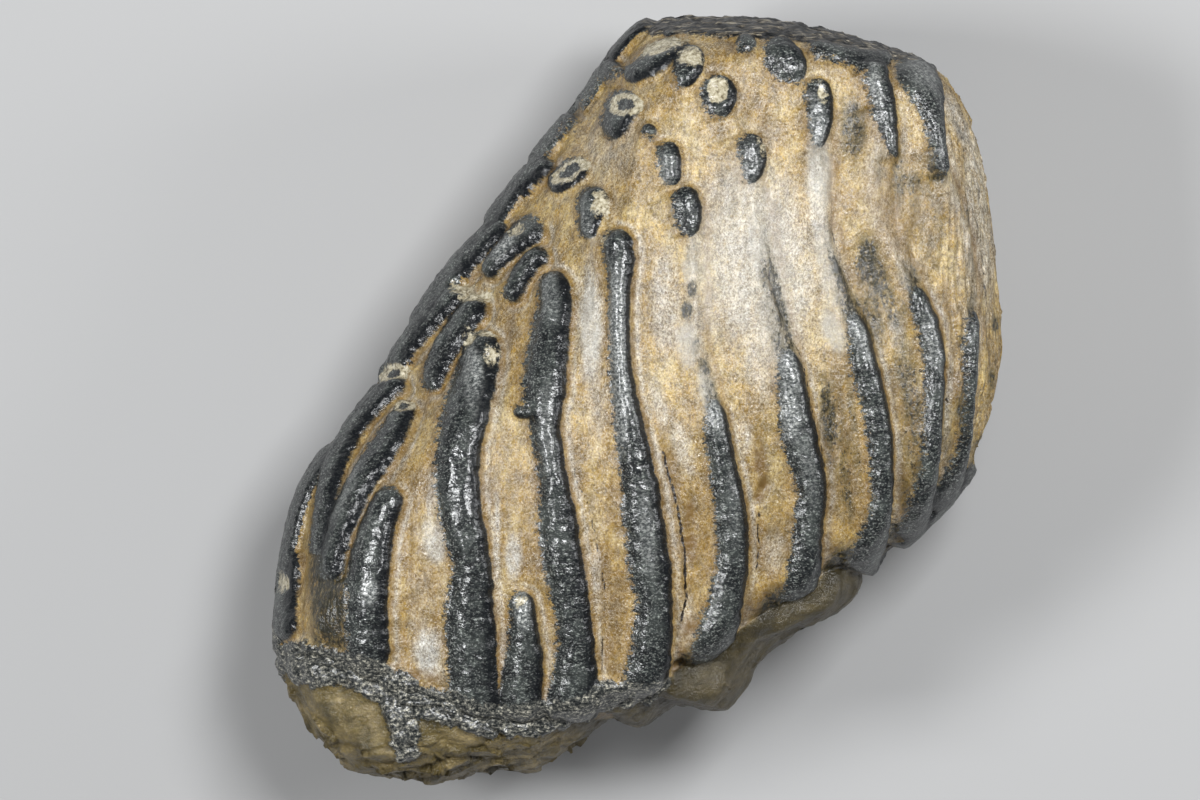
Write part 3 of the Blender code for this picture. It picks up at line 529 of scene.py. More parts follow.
def surface_from(tree, x, y, z, direction):
    """Where a ray from outside meets the crown, or the nearest point beside its waist."""
    where, normal, _, _ = tree.ray_cast(Vector((x, y, z)) * MM, Vector(direction))
    if where is None:
        where, normal, _, _ = tree.find_nearest(Vector((x, y, CROWN_MIDDLE)) * MM)
    return where / MM, normal


def lay_track(tree, points, side, fade=0.0):
    """A path seen from above, laid on the near side (1) or moved over to the far side (-1)."""
    path = smooth_path(points, PATH_STEP)
    shift_x, shift_y = (0, 0) if side > 0 else FAR_SHIFT
    places = [
        surface_from(tree, x + shift_x, y + shift_y, OUTSIDE * side, (0, 0, -side))
        for x, y in path[:, :2]
    ]
    half_widths = path[:, 2] if path.shape[1] > 2 else np.zeros(len(path))
    return Track(places, half_widths, fade)


def slope_lines(column, level):
    """The fingers of one column of the slope, each as a line seen from above."""
    row_turn, column_turn = STAGGER_TURNS
    lines = []
    for row, (start, end) in enumerate(zip(SLOPE_ROWS, SLOPE_ROWS[1:])):
        start, end = np.array(start), np.array(end)
        slip = SLOPE_STAGGER * math.sin(row_turn * row + column_turn * column)
        lines.append([start + (end - start) * (slip + share) for share in FINGER_SHARES])
    if level > SLOPE_LEVELS[-1]:
        lines.append(END_FINGER)
    return lines


def slope_tracks(tree):
    """The hidden columns of fingers down the slope and the last end."""
    tracks = []
    outward = np.array(SLOPE_OUTWARD)
    for column, level in enumerate(SLOPE_LEVELS):
        for line in slope_lines(column, level):
            path = smooth_path([(x, y, FINGER_HALF_WIDTH) for x, y in line], PATH_STEP)
            places = [
                surface_from(tree, *(np.array((x, y, level)) + outward * BESIDE_SLOPE), -outward)
                for x, y, _ in path
            ]
            tracks.append(Track(places, path[:, 2], in_plan=False))
    return tracks


def loop_tracks(tree):
    """The worn-down plates as long flat loops across the grinding face."""
    turns = np.linspace(0, math.tau, LOOP_POINTS)
    swing = np.sign(np.cos(turns)) * np.abs(np.cos(turns)) ** LOOP_SQUARENESS
    tracks = []
    for middle, half_width, half_length in LOOPS:
        across = middle + half_width * swing
        along = LOOP_MIDDLE + half_length * np.sin(turns)
        places = [surface_from(tree, x, OUTSIDE, z, (0, -1, 0)) for x, z in zip(across, along)]
        tracks.append(Track(places, [LOOP_EDGE] * LOOP_POINTS, in_plan=False))
    return tracks


def cover_from(distance, softness=EDGE_SOFTNESS):
    """A field that passes through a half where the distance outside an edge is nought."""
    return np.clip(0.5 - distance / (2 * softness), 0, 1)


def raise_edge(skin, track, height, lumps):
    """A plate's edge: rounded crest, steep crisp right side and a left side lapped by cement."""
    near, across, along, best = beside(skin, track, track.half_widths.max() * 1.1 + 6)
    half = track.half_widths[best] * (1 + 0.1 * lumps[near])
    place = across / half
    tip = 1 - np.clip(track.from_ends(along) / half, -3, 1)
    share = np.sqrt(place ** 2 + tip ** 2)
    right = smooth_step(-0.3, 0.3, place)
    crisp = np.clip(1 - share ** 2.3, 0, 1) ** 0.5
    soft = np.clip(1 - share ** 1.8, 0, 1) ** 0.8
    strength = smooth_step(-1, track.fade, along) if track.fade else 1.0
    skin.most("edge", near, height * strength * (right * crisp + (1 - right) * soft))
    beyond = (share - 1) * half
    colour_edge(skin, near, place, beyond, right, strength)
    if track.fade:
        coming = smooth_step(-track.fade, track.fade * 0.7, along)
        skin.most("mottle", near, 0.9 * coming * smooth_step(1.15, 0.5, np.abs(place)))
    outside = np.maximum(beyond, 0)
    lap = LEFT_RAMP[0] * np.exp(-outside / LEFT_RAMP[1]) * (1 - right)
    dip = RIGHT_DIP[0] * np.exp(-outside / RIGHT_DIP[1]) * right
    skin.bed[near] += strength * (lap - dip) * (tip < 1) * height / RIDGE_HEIGHT
    line_edge(skin, near, outside, right, strength, height)


def colour_edge(skin, near, place, beyond, right, strength):
    """An edge's enamel, its polished crest, and the flank down its right side, which is painted
    dark as shade.
    """
    softness = FEATHERED + (EDGE_SOFTNESS - FEATHERED) * right
    skin.most("enamel", near, cover_from(beyond, softness) * np.maximum(strength, 0.2))
    skin.most("right", near, right * cover_from(beyond - 1.5))
    crest = smooth_step(-0.5, 0, place) * smooth_step(0.9, 0.55, place)
    skin.most("crest", near, crest * cover_from(beyond + 1))
    # The flank field is where the colour paints the steep right side dark as shade.
    skin.most("flank", near, smooth_step(0.35, 0.75, place) * cover_from(beyond - 1))


def line_edge(skin, near, outside, right, strength, height):
    """The thin brown line in the cement along an edge, and the cream line beyond it that paints the
    highlight along the right side.
    """
    line = right * strength * (height / RIDGE_HEIGHT) ** 3
    # Painted highlight: a cream line just right of the edge.
    skin.most("pale", near, 0.75 * line * np.exp(-((outside - 1.3) / 0.5) ** 2))
    skin.most("brown", near, 0.7 * line * np.exp(-((outside - 0.3) / 0.45) ** 2))
    skin.most("brown", near, 0.5 * strength * (1 - right) * np.exp(-(outside / 1.6) ** 2))


def raise_buried(skin, track):
    """A low swelling with a brown crease down its right side, and pale on top as a painted sheen.
    """
    near, across, _, best = beside(skin, track, 8)
    share = across / (track.half_widths[best] * 1.25)
    skin.bed[near] += BURIED_HEIGHT * np.exp(-share ** 2 * np.where(share > 0, 2.2, 0.8))
    crease = np.exp(-((share - 1.15) / 0.3) ** 2)
    skin.most("brown", near, 0.55 * crease)
    # Painted sheen along the swelling's top.
    skin.most("pale", near, 0.5 * np.exp(-(share - 0.1) ** 2 * 2))


def raise_band(skin, track, height, lumps, field):
    """A rough lumpy band of enamel with ragged sides."""
    near, across, along, best = beside(skin, track, 9)
    past_end = np.minimum(track.from_ends(along), 0)
    outside = np.hypot(across, past_end) - track.half_widths[best] * (1 + 0.25 * lumps[near])
    cover = cover_from(outside)
    rough = 1 + 0.7 * lumps[near]
    skin.edge[near] += height * smooth_step(0.3, 0.8, cover) * rough * (skin.edge[near] < height)
    skin.most("enamel", near, cover)
    skin.most(field, near, cover)


def mark_crack(skin, track, depth, lumps):
    """A dark crack that wanders a little, with a low lip along its left side."""
    near, across, along, _ = beside(skin, track, 3)
    inside = smooth_step(-0.5, 2.5, track.from_ends(along))
    distance = np.abs(across + 0.35 * lumps[near])
    boldness = 0.86 + 0.14 * depth / CRACKS[0][0]
    skin.most("crack", near, np.clip(1 - distance / 2.5, 0, 1) * inside * boldness)
    skin.bed[near] -= depth * inside * np.clip(1 - distance / 0.8, 0, 1)
    skin.bed[near] += 0.3 * depth * inside * np.exp(-((across + 1.3) / 0.8) ** 2)


def ellipse(skin, mark, side):
    """The points of one side near an ellipse seen from above, and how far out in it they lie."""
    x, y, long, short, tilt = mark[:5]
    if side < 0:
        x, y = x + FAR_SHIFT[0], y + FAR_SHIFT[1]
    reach = long * 1.6 + 3
    near = np.flatnonzero(
        (np.abs(skin.points[:, 0] - x) < reach)
        & (np.abs(skin.points[:, 1] - y) < reach)
        & (skin.normals[:, 2] * side > TURNED_AWAY)
    )
    turn = math.radians(tilt)
    dx = skin.points[near, 0] - x
    dy = skin.points[near, 1] - y
    lengthways = (dx * math.cos(turn) + dy * math.sin(turn)) / long
    sideways = (dy * math.cos(turn) - dx * math.sin(turn)) / short
    return near, np.hypot(lengthways, sideways)


def wear_tip(skin, mark, side, lumps):
    """A finger's tip ground flat: a pale ring of dentine, sometimes round a pit."""
    short, pit, dark = mark[3], mark[5], mark[6]
    near, out = ellipse(skin, mark, side)
    out = out * (1 + 0.12 * lumps[near])
    cover = cover_from((out - 1) * short, EDGE_SOFTNESS if pit else FEATHERED)
    skin.most("worn", near, cover)
    flat = smooth_step(1.3, 0.8, out)
    skin.edge[near] -= 0.35 * flat * skin.edge[near]
    if pit:
        inner = cover_from((out - pit) * short * 1.4)
        skin.edge[near] -= 0.6 * inner
        if dark:
            skin.worn[near] = np.minimum(skin.worn[near], 1 - inner)
        skin.most("brown", near, 0.7 * inner)


def add_mark(skin, mark, side, field):
    near, out = ellipse(skin, mark, side)
    skin.most(field, near, mark[5] * smooth_step(1.3, 0.5, out))


def sink(skin, mark, side):
    near, out = ellipse(skin, mark, side)
    skin.bed[near] -= mark[5] * smooth_step(1.4, 0.1, out)
    # Painted shade: the hollow is browned as well as sunk.
    skin.most("brown", near, min(mark[5], 1) * smooth_step(1.2, 0.3, out))


def facets(points, size, steepness):
    """Heights of rough broken faces: each cell of a Voronoi pattern is a plane of its own tilt."""
    heights = np.empty(len(points))
    for i, point in enumerate((points / np.array(size)).tolist()):
        seed = noise.voronoi(point)[1][0]
        tilt = noise.cell_vector(seed * 7.3) - Vector((0.5, 0.5, 0.5))
        heights[i] = (Vector(point) - seed).dot(tilt)
    return heights * max(size) * steepness


def mark_root(skin, tree):
    """What lies off the crown's own surface is root."""
    for i, point in enumerate(skin.points.tolist()):
        gap = tree.find_nearest(Vector(point) * MM)[3]
        skin.root[i] = min(gap / MM / 0.8, 1)


def lay_plates(skin, tree, lumps):
    for side in (1, -1):
        for fade, points in zip(RIDGE_FADES, RIDGES):
            raise_edge(skin, lay_track(tree, points, side, fade), RIDGE_HEIGHT, lumps)
        for points in END_FINGERS + (FINGERS if side > 0 else []):
            raise_edge(skin, lay_track(tree, points, side), RIDGE_HEIGHT, lumps)
        for points in KNOBS:
            raise_edge(skin, lay_track(tree, points, side), KNOB_HEIGHT, lumps)
        for points in BURIED:
            raise_buried(skin, lay_track(tree, points, side))
        raise_band(skin, lay_track(tree, RIM, side), RIM_HEIGHT, lumps, "layers")
    for track in slope_tracks(tree):
        raise_edge(skin, track, RIDGE_HEIGHT, lumps)
    for track in loop_tracks(tree):
        raise_edge(skin, track, LOOP_HEIGHT, lumps)


def lay_marks(skin, tree, lumps):
    for side in (1, -1):
        for depth, points in CRACKS:
            mark_crack(skin, lay_track(tree, points, side), depth, lumps)
        for mark in WORN_TIPS:
            wear_tip(skin, mark, side, lumps)
        for mark in HOLLOWS:
            sink(skin, mark, side)
        for field, marks in (("mottle", MOTTLES), ("brown", BROWNS_AND_SHADES), ("pale", PALES_AND_SHEENS),
                             ("sheen_and_film", SHEENS_AND_FILMS)):
            for mark in marks:
                add_mark(skin, mark, side, field)


def lay_crust(skin, tree, lumps):
    """The crust over the seam between crown and root; returns how much it raises each point."""
    before = skin.edge.copy()
    for side in (1, -1):
        raise_band(skin, lay_track(tree, CRUST, side), CRUST_HEIGHT, lumps, "crust")
    raise_band(skin, lay_track(tree, DRIP, 1), CRUST_HEIGHT, lumps, "crust")
    return skin.edge - before


def brown_and_shade(skin):
    """The cement browner towards the bottom, painted shade on the root towards the right, and where
    the broken front end's coarse fibres are.
    """
    skin.fibre = smooth_step(*FRONT_END, skin.points[:, 0])
    low = 0.4 * smooth_step(*LOW_BROWNING, skin.points[:, 1]) * (1 - skin.pale)
    # Painted shade on the root, darker towards the right.
    shade_on_root = 0.9 * smooth_step(*ROOT_SHADE, skin.points[:, 0]) * skin.root
    skin.brown = np.maximum(skin.brown, np.maximum(low, shade_on_root))


def crown_relief(skin, lumps, swell):
    """Height of edges, cement and their grain above the bare crown."""
    grit = grain_at(skin.points, 1.1, 3, 7.0)
    fibre = grain_at(skin.points, (0.9, 8, 0.9), 2, 11.0)
    height = np.where(skin.edge > 0.02, np.maximum(skin.edge, skin.bed), skin.bed)
    enamel = smooth_step(0.4, 0.6, skin.enamel)
    height += enamel * (grit * (0.14 - 0.07 * skin.crest) + lumps * 0.2)
    height += (1 - enamel) * (1 - skin.root) * (swell * 0.5 + fibre * (0.18 + 0.55 * skin.fibre))
    return height


def root_relief(skin, lumps, swell):
    """Height of the root's broken faces, ledges and lumps."""
    broken = smooth_step(*BROKEN_ROOT, skin.points[:, 0])
    flaky = smooth_step(*FLAKY_ROOT, skin.points[:, 1])
    chips = facets(skin.points, (12, 8, 12), 0.26) * (0.25 + 0.75 * broken) * (1 - 0.5 * flaky)
    flakes = facets(skin.points, (6, 2.8, 6), 0.42) * flaky
    return chips + flakes + swell * 0.9 + lumps * 0.12


def sculpt(obj, crown_tree):
    """Raise and sink the skin, and leave its fields on the mesh for the material."""
    skin = Skin(obj.data)
    skin_tree = BVHTree.FromObject(obj, bpy.context.evaluated_depsgraph_get())
    mark_root(skin, crown_tree)
    lumps = grain_at(skin.points, 2.2, 3)
    swell = grain_at(skin.points, (6, 18, 6), 3, 3.0)
    lay_plates(skin, crown_tree, lumps)
    lay_marks(skin, crown_tree, lumps)
    crown = 1 - skin.root
    skin.enamel *= crown
    crusted = skin.spread(lay_crust(skin, skin_tree, lumps), EDGE_ROUNDS)
    skin.edge = skin.spread(skin.edge, EDGE_ROUNDS)
    brown_and_shade(skin)
    height = crown_relief(skin, lumps, swell) * crown + crusted * skin.root
    height += skin.root * root_relief(skin, lumps, swell)
    moved = skin.points + skin.normals * height[:, None]
    obj.data.vertices.foreach_set("co", (moved * MM).ravel())
    for name in FIELDS:
        layer = obj.data.attributes.new(name, "FLOAT", "POINT")
        layer.data.foreach_set("value", getattr(skin, name).astype(np.float32))
    obj.data.update()


def thin_out(obj):
    """Fewer triangles, and fewer still away from the near side."""
    obj.data.calc_loop_triangles()
    upward = read(obj.data.vertex_normals, "vector")[:, 2]
    weights = np.where(upward > NEAR_SIDE, NEAR_THINNING, 1)
    thinning = obj.vertex_groups.new(name="thinning")
    for share in (NEAR_THINNING, 1):
        thinning.add(np.flatnonzero(weights == share).tolist(), share, "REPLACE")
    decimate = obj.modifiers.new("Thin out", "DECIMATE")
    decimate.ratio = TRIANGLES / len(obj.data.loop_triangles)
    decimate.vertex_group = thinning.name
    return to_mesh(obj)


def set_down(obj):
    """Bring the top to the solid's top and wear the lowest crests flat on the floor."""
    points = read(obj.data.vertices, "co")
    points[:, 2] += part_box(NODE)[1].z - points[:, 2].max()
    points[:, 2] = np.maximum(points[:, 2], 0)
    obj.data.vertices.foreach_set("co", points.ravel())
    obj.data.update()


# ---- materials

class Weave:
    """Shader nodes of one material, each made by a call that returns its output."""

    def __init__(self, name):
        self.material = bpy.data.materials.new(name)
        self.material.use_nodes = True
        self.tree = self.material.node_tree
        self.shader = self.tree.nodes["Principled BSDF"]
        self.place = self.tree.nodes.new("ShaderNodeTexCoord").outputs["Object"]

    def put(self, socket, value):
        if isinstance(value, bpy.types.NodeSocket):
            self.tree.links.new(value, socket)
        elif isinstance(value, tuple) and len(value) == 3 and socket.type == "RGBA":
            socket.default_value = (*value, 1)
        else:
            socket.default_value = value

    def field(self, name):
        node = self.tree.nodes.new("ShaderNodeAttribute")
        node.attribute_name = name
        return node.outputs["Fac"]

    def noise(self, size, detail=2.0, roughness=0.5, shift=0.0):
        """Noise whose lumps are about size mm, or a size for each axis."""
        sizes = size if isinstance(size, tuple) else (size,) * 3
        mapping = self.tree.nodes.new("ShaderNodeMapping")
        self.put(mapping.inputs["Vector"], self.place)
        mapping.inputs["Scale"].default_value = tuple(1 / (s * MM) for s in sizes)
        mapping.inputs["Location"].default_value = (shift, shift, shift)
        pattern = self.tree.nodes.new("ShaderNodeTexNoise")
        self.put(pattern.inputs["Vector"], mapping.outputs[0])
        pattern.inputs["Scale"].default_value = 1.0
        pattern.inputs["Detail"].default_value = detail
        pattern.inputs["Roughness"].default_value = roughness
        return pattern.outputs["Fac"]

    def maths(self, operation, first, second=0.0, third=0.0):
        node = self.tree.nodes.new("ShaderNodeMath")
        node.operation = operation
        for socket, value in zip(node.inputs, (first, second, third)):
            self.put(socket, value)
        return node.outputs[0]

    def times(self, first, second):
        return self.maths("MULTIPLY", first, second)

    def step(self, value, low, high, start=0.0, end=1.0):
        """A smooth change from start, where the value is low, to end, where it is high."""
        node = self.tree.nodes.new("ShaderNodeMapRange")
        node.interpolation_type = "SMOOTHSTEP"
        for socket, item in zip(node.inputs, (value, low, high, start, end)):
            self.put(socket, item)
        return node.outputs[0]

    def mix(self, factor, first, second, blend="MIX"):
        """One colour over another."""
        node = self.tree.nodes.new("ShaderNodeMix")
        node.data_type = "RGBA"
        node.blend_type = blend
        self.put(node.inputs[0], factor)
        self.put(node.inputs[6], first)
        self.put(node.inputs[7], second)
        return node.outputs[2]

    def blend(self, factor, first, second):
        """A number between two others."""
        node = self.tree.nodes.new("ShaderNodeMix")
        self.put(node.inputs[0], factor)
        self.put(node.inputs[2], first)
        self.put(node.inputs[3], second)
        return node.outputs[0]

    def ramp(self, value, *stops):
        """Colours, or greys written as single numbers, each reached at its own value."""
        node = self.tree.nodes.new("ShaderNodeValToRGB")
        self.put(node.inputs[0], value)
        elements = node.color_ramp.elements
        while len(elements) < len(stops):
            elements.new(0.5)
        for element, (position, colour) in zip(elements, stops):
            element.position = position
            element.color = (*colour, 1) if isinstance(colour, tuple) else (colour,) * 3 + (1,)
        return node.outputs[0]


def enamel_mask(weave):
    """Enamel with a feathered left edge and a crisp right one."""
    ragged = weave.maths("SUBTRACT", weave.noise((1.3, 1.0, 1.3), 4.0, 0.85), 0.5)
    amount = weave.blend(weave.field("right"), 1.5, 0.3)
    edge = weave.maths("MULTIPLY_ADD", ragged, amount, weave.field("enamel"))
    return weave.step(edge, 0.42, 0.58)


def enamel_colour(weave):
    """Near black and a little blue, with silvery grains that lie in short wrinkles across it;
    painted glints as bright dots, painted sheen where the sheen marks lie, and painted shade down
    each edge's right flank.
    """
    speckled = weave.ramp(
        weave.noise((0.95, 0.6, 0.8), 2.0, 0.75),
        (0.4, (0.003, 0.0045, 0.006)), (0.52, (0.011, 0.0145, 0.017)),
        (0.62, (0.055, 0.061, 0.056)), (0.74, (0.28, 0.305, 0.28)),
    )
    # Painted glints: bright dots over the enamel, fewer on the polished crest.
    painted_glints = weave.step(weave.noise((0.42, 0.34, 0.42), 1.0, 0.5, 41.0), 0.56, 0.72)
    glint_share = weave.blend(weave.field("crest"), 0.6, 0.35)
    speckled = weave.mix(weave.times(painted_glints, glint_share), speckled, (0.34, 0.35, 0.33))
    haze = weave.step(weave.noise(5.0, 3.0, 0.6, 9.0), 0.44, 0.66, 0.0, 0.7)
    speckled = weave.mix(haze, speckled, (0.04, 0.045, 0.04), "ADD")
    dull = weave.times(weave.field("brown"), 0.3)
    speckled = weave.mix(dull, speckled, (0.045, 0.042, 0.034), "ADD")
    sheen_and_film_colour = weave.ramp(
        weave.noise((0.7, 0.5, 0.7), 3.0, 0.7, 19.0),
        (0.36, (0.03, 0.034, 0.035)), (0.5, (0.17, 0.18, 0.175)), (0.64, (0.55, 0.56, 0.53)),
    )
    # Painted sheen and silvery film over the enamel.
    speckled = weave.mix(weave.field("sheen_and_film"), speckled, sheen_and_film_colour)
    # Painted shade: the right flank near black.
    return weave.mix(weave.times(weave.field("flank"), 0.9), speckled, (0.003, 0.004, 0.006))


def crust_colour(weave):
    """Black and cream grains."""
    return weave.ramp(
        weave.noise((0.8, 0.6, 0.8), 3.0, 0.75, 12.0),
        (0.36, (0.006, 0.0075, 0.0085)), (0.48, (0.042, 0.045, 0.043)),
        (0.58, (0.18, 0.175, 0.15)), (0.7, (0.62, 0.59, 0.48)),
    )


def threads(weave, size, thickness, shift):
    """A matted net of thin lines, bright where a noise pattern passes its middle value."""
    away = weave.maths("SUBTRACT", weave.noise(size, 3.0, 0.6, shift), 0.5)
    return weave.step(weave.maths("ABSOLUTE", away), 0.0, thickness, 1.0, 0.0)


def cement_ground(weave):
    """Golden cement with cream patches, partly a painted sheen, under streaks and blotches."""
    gold = weave.ramp(
        weave.noise((7.0, 11.0, 7.0), 4.0, 0.65),
        (0.35, (0.17, 0.1, 0.02)), (0.46, (0.31, 0.19, 0.037)),
        (0.55, (0.42, 0.28, 0.072)), (0.66, (0.53, 0.4, 0.165)),
    )
    cream = weave.ramp(
        weave.noise((1.6, 2.0, 1.6), 4.0, 0.7, 2.0),
        (0.34, (0.22, 0.18, 0.12)), (0.48, (0.43, 0.395, 0.32)), (0.64, (0.7, 0.69, 0.64)),
    )
    broken = weave.step(weave.noise((2.4, 7.0, 2.4), 4.0, 0.6, 33.0), 0.36, 0.56, 0.5, 1.0)
    # The cream patches are partly painted sheen.
    colour = weave.mix(weave.times(weave.field("pale"), broken), gold, cream)
    streaks = weave.ramp(weave.noise((1.3, 4.0, 1.3), 4.0, 0.65, 4.0), (0.32, 0.6), (0.6, 1.12))
    colour = weave.mix(0.55, colour, streaks, "MULTIPLY")
    patches = weave.noise((2.6, 3.4, 2.6), 4.0, 0.65, 14.0)
    blotches = weave.ramp(patches, (0.37, 0.42), (0.5, 0.95), (0.62, 1.3))
    return weave.mix(0.75, colour, blotches, "MULTIPLY")


def cement_grain(weave, colour):
    """The cement's matted threads, specks, painted glints and flecks, and the front end's fibres.
    """
    pale = weave.field("pale")
    net = weave.maths("MAXIMUM", threads(weave, (1.6, 2.2, 1.6), 0.03, 21.0),
                      threads(weave, (0.9, 1.1, 0.9), 0.05, 25.0))
    colour = weave.mix(weave.times(net, 0.36), colour, (0.77, 0.68, 0.5))
    tiny = weave.noise((0.36, 0.5, 0.36), 2.0, 0.6, 6.0)
    specks = weave.ramp(tiny, (0.36, (0.32, 0.26, 0.19)), (0.68, (1.3, 1.34, 1.42)))
    colour = weave.mix(weave.blend(pale, 0.5, 0.9), colour, specks, "MULTIPLY")
    # Painted glints: thin bright threads, stronger where the cement is pale.
    glints = weave.times(threads(weave, (0.6, 0.7, 0.6), 0.06, 51.0), weave.blend(pale, 0.16, 0.5))
    painted_glint_colour = weave.mix(pale, (0.76, 0.66, 0.47), (0.84, 0.82, 0.76))
    colour = weave.mix(glints, colour, painted_glint_colour)
    flecks = weave.step(weave.noise((0.65, 0.9, 0.65), 3.0, 0.7, 37.0), 0.35, 0.47, 0.6, 0.0)
    colour = weave.mix(flecks, colour, (0.09, 0.06, 0.03))
    lengthways = weave.noise((0.7, 12.0, 0.9), 4.0, 0.7, 27.0)
    strands = weave.ramp(lengthways, (0.36, 0.5), (0.5, 0.95), (0.62, 1.35))
    return weave.mix(weave.times(weave.field("fibre"), 0.75), colour, strands, "MULTIPLY")


def cement_marks(weave, colour):
    """The cement's brown stains and painted shade, painted sheen and silvery film, olive smears,
    dark grains and cracks.
    """
    patchy = weave.step(weave.noise(2.2, 3.0, 0.6, 10.0), 0.3, 0.6, 0.35, 1.0)
    # Brown stains, and painted shade in the hollows.
    colour = weave.mix(weave.times(weave.field("brown"), patchy), colour, (0.155, 0.086, 0.023))
    # Painted sheen and silvery film over the cement.
    colour = weave.mix(weave.times(weave.field("sheen_and_film"), 0.62), colour, (0.62, 0.615, 0.57))
    mottle = weave.field("mottle")
    smeared = weave.step(weave.noise((1.3, 4.0, 1.3), 4.0, 0.75, 31.0), 0.34, 0.58, 0.3, 1.0)
    # Olive smears and dark grains; in the low hollows and one crease they are painted shade.
    colour = weave.mix(weave.times(mottle, smeared), colour, (0.075, 0.062, 0.027))
    scattered = weave.noise((0.7, 1.1, 0.7), 3.0, 0.75, 5.0)
    grains = weave.step(weave.maths("MULTIPLY_ADD", mottle, 0.36, scattered), 0.72, 0.88, 0.0, 0.85)
    colour = weave.mix(grains, colour, (0.011, 0.0125, 0.0105))
    crack = weave.maths("MULTIPLY_ADD", weave.noise(1.2, 2.0), 0.16, weave.field("crack"))
    return weave.mix(weave.step(crack, 0.94, 1.0), colour, (0.015, 0.009, 0.005))


def worn_colour(weave):
    """The cream dentine and enamel of a tip ground flat."""
    return weave.ramp(
        weave.noise(0.8, 3.0, 0.7, 3.0),
        (0.34, (0.16, 0.13, 0.08)), (0.48, (0.42, 0.37, 0.25)), (0.64, (0.66, 0.61, 0.47)),
    )


def root_colour(weave):
    """Grey-brown root with stains along X, darker under the brown field: stains, and painted shade
    towards the right and in the hollows.
    """
    broad = weave.ramp(
        weave.noise(6.0, 4.0, 0.6, 8.0),
        (0.3, (0.09, 0.07, 0.024)), (0.5, (0.26, 0.195, 0.072)), (0.7, (0.47, 0.36, 0.17)),
    )
    stains = weave.ramp(weave.noise((5.0, 1.2, 3.0), 4.0, 0.65, 17.0), (0.34, 0.4), (0.6, 1.1))
    colour = weave.mix(0.75, broad, stains, "MULTIPLY")
    specks = weave.ramp(weave.noise(0.5, 3.0, 0.6, 1.0), (0.35, 0.75), (0.65, 1.2))
    colour = weave.mix(0.7, colour, specks, "MULTIPLY")
    # Darker under the brown field: stains and painted shade.
    return weave.mix(weave.times(weave.field("brown"), 0.93), colour, (0.03, 0.025, 0.013))


def layer_colour(weave):
    """The rim's broken layers, drawn out along it."""
    return weave.ramp(
        weave.noise((9.0, 0.8, 1.2), 4.0, 0.65, 2.5),
        (0.4, (0.004, 0.005, 0.006)), (0.51, (0.018, 0.018, 0.018)),
        (0.58, (0.12, 0.1, 0.07)), (0.67, (0.46, 0.42, 0.33)),
    )


def tooth_colour(weave, enamelled, rooted):
    """Cement or root, with enamel, its crust and its layers over them and worn tips over all."""
    cement = cement_marks(weave, cement_grain(weave, cement_ground(weave)))
    bare = weave.mix(rooted, cement, root_colour(weave))
    crusted = weave.step(weave.field("crust"), 0.35, 0.6)
    enamel = weave.mix(crusted, enamel_colour(weave), crust_colour(weave))
    layered = weave.step(weave.field("layers"), 0.4, 0.6)
    enamel = weave.mix(layered, enamel, layer_colour(weave))
    ragged = weave.noise(1.4, 4.0, 0.75, 7.0)
    worn = weave.step(weave.maths("MULTIPLY_ADD", ragged, 0.9, weave.field("worn")), 0.9, 1.06)
    return weave.mix(worn, weave.mix(enamelled, bare, enamel), worn_colour(weave))


def relief(weave, enamelled, rooted):
    """Height in mm of the finest grain: wrinkled grit on the enamel, matted threads on cement."""
    grit = weave.times(weave.noise((0.8, 0.6, 0.8), 2.0, 0.65), 0.15)
    polished = weave.blend(weave.field("crest"), 1.0, 0.5)
    wrinkles = weave.times(weave.noise((2.2, 1.4, 2.2), 3.0, 0.5, 8.0), 0.24)
    enamel = weave.maths("MULTIPLY_ADD", grit, polished, wrinkles)
    fine = weave.times(weave.noise((0.6, 0.75, 0.6), 3.0, 0.7), 0.17)
    cement = weave.maths("MULTIPLY_ADD", weave.noise((1.7, 2.1, 1.7), 3.0, 0.65, 3.0), 0.28, fine)
    root = weave.maths("MULTIPLY_ADD", weave.noise(0.8, 3.0, 0.75, 13.0), 0.4, cement)
    return weave.blend(enamelled, weave.blend(rooted, cement, root), enamel)


def coat_weight(weave):
    """A clear coat, fainter where the surface turns away and on the flanks of the edges."""
    facing = weave.tree.nodes.new("ShaderNodeLayerWeight")
    facing.inputs["Blend"].default_value = 0.5
    head_on = weave.step(facing.outputs["Facing"], 0.3, 0.85, 1.0, 0.2)
    return weave.times(head_on, weave.blend(weave.field("flank"), 1.0, 0.6))


def fossil_material():
    weave = Weave("fossil tooth")
    enamelled = enamel_mask(weave)
    rooted = weave.step(weave.field("root"), 0.3, 0.7)
    shader = weave.shader
    weave.put(shader.inputs["Base Color"], tooth_colour(weave, enamelled, rooted))
    weave.put(shader.inputs["Roughness"], weave.blend(enamelled, 0.45, 0.38))
    shader.inputs["Specular IOR Level"].default_value = 0.12
    bump = weave.tree.nodes.new("ShaderNodeBump")
    bump.inputs["Distance"].default_value = MM
    weave.put(bump.inputs["Height"], relief(weave, enamelled, rooted))
    weave.put(shader.inputs["Normal"], bump.outputs[0])
    weave.put(shader.inputs["Coat Normal"], bump.outputs[0])
    weave.put(shader.inputs["Coat Weight"], coat_weight(weave))
    shader.inputs["Coat Roughness"].default_value = 0.18
    return weave.material


def make_tooth():
    crown = pillow("crown", CROWN_OUTLINE, CROWN_CENTRE, CROWN_RISE, CROWN_FALL, CROWN_DOME,
                   CROWN_FAR_DOME)
    root = pillow("root", ROOT_OUTLINE, ROOT_CENTRE, ROOT_RISE, ROOT_FALL, ROOT_DOME, ROOT_DOME)
    crown_tree = BVHTree.FromObject(crown, bpy.context.evaluated_depsgraph_get())
    tooth = fuse([crown, root])
    sculpt(tooth, crown_tree)
    tooth = thin_out(tooth)
    set_down(tooth)
    tooth.name = "tooth_surface"
    tooth.data.materials.clear()
    tooth.data.materials.append(fossil_material())
    tooth.data.shade_smooth()
    return tooth


# ---- studio

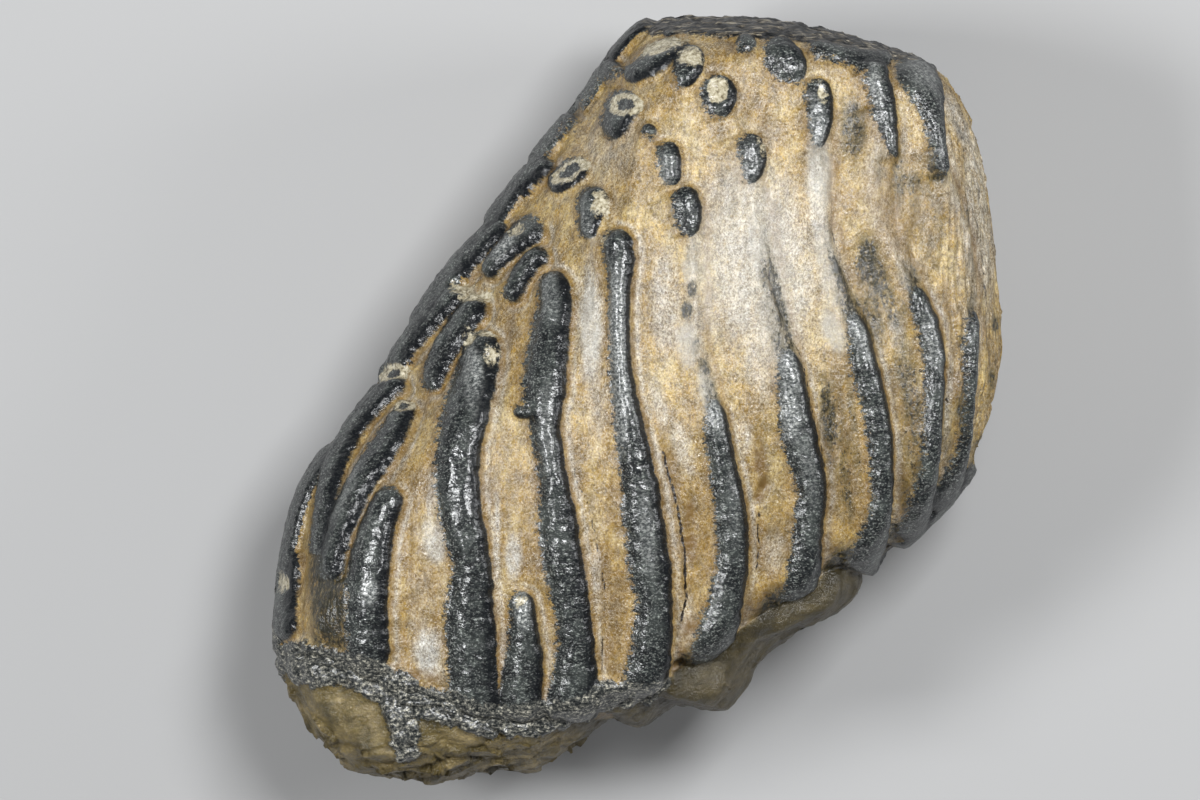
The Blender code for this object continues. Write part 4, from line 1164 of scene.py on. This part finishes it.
CAMERA_PLACE = (-0.0072, 0.0001, 3.05)
CAMERA_LENS = 450
FLOOR_SIZE = 12
FLOOR_COLOUR = (0.43, 0.43, 0.43)
LIGHT_AIM = (0, 0, 0.05)
LIGHT_COLOUR = (0.98, 0.99, 1)
# Name, place and size in metres, and power in watts of each light.
LIGHTS = [
    ("key", (0.25, 0.25, 1.1), (0.3, 0.3), 9.8),
    ("side", (0.9, 0.16, 0.55), (0.26, 0.4), 3.7),
    ("fill", (-0.7, 0.0, 0.9), (0.26, 0.26), 7.8),
]


def add_light(name, place, size, power):
    lamp = bpy.data.lights.new(name, "AREA")
    lamp.shape = "RECTANGLE"
    lamp.size, lamp.size_y = size
    lamp.energy = power
    lamp.color = LIGHT_COLOUR
    obj = bpy.data.objects.new(name, lamp)
    bpy.context.collection.objects.link(obj)
    obj.location = place
    aim = Vector(LIGHT_AIM) - Vector(place)
    obj.rotation_euler = aim.to_track_quat("-Z", "Y").to_euler()
    obj.visible_camera = False


def make_floor():
    bpy.ops.mesh.primitive_plane_add(size=FLOOR_SIZE)
    floor = bpy.context.object
    floor.name = "floor"
    paint = Weave("floor")
    paint.put(paint.shader.inputs["Base Color"], FLOOR_COLOUR)
    paint.shader.inputs["Roughness"].default_value = 0.8
    floor.data.materials.append(paint.material)


def make_stage():
    make_floor()
    world = bpy.data.worlds.new("studio")
    bpy.context.scene.world = world
    world.use_nodes = True
    background = world.node_tree.nodes["Background"]
    background.inputs["Color"].default_value = (0.95, 0.97, 1, 1)
    background.inputs["Strength"].default_value = 0.1
    for light in LIGHTS:
        add_light(*light)
    bpy.context.scene.view_settings.view_transform = "Standard"


def make_camera():
    camera = bpy.data.cameras.new("camera")
    camera.sensor_width = 36
    camera.lens = CAMERA_LENS
    camera.clip_start = 0.1
    camera.clip_end = 20
    obj = bpy.data.objects.new("camera", camera)
    bpy.context.collection.objects.link(obj)
    obj.location = CAMERA_PLACE
    bpy.context.scene.camera = obj


make_camera()
make_stage()
tooth_surface = make_tooth()
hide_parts(NODE)
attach(tooth_surface, "root")
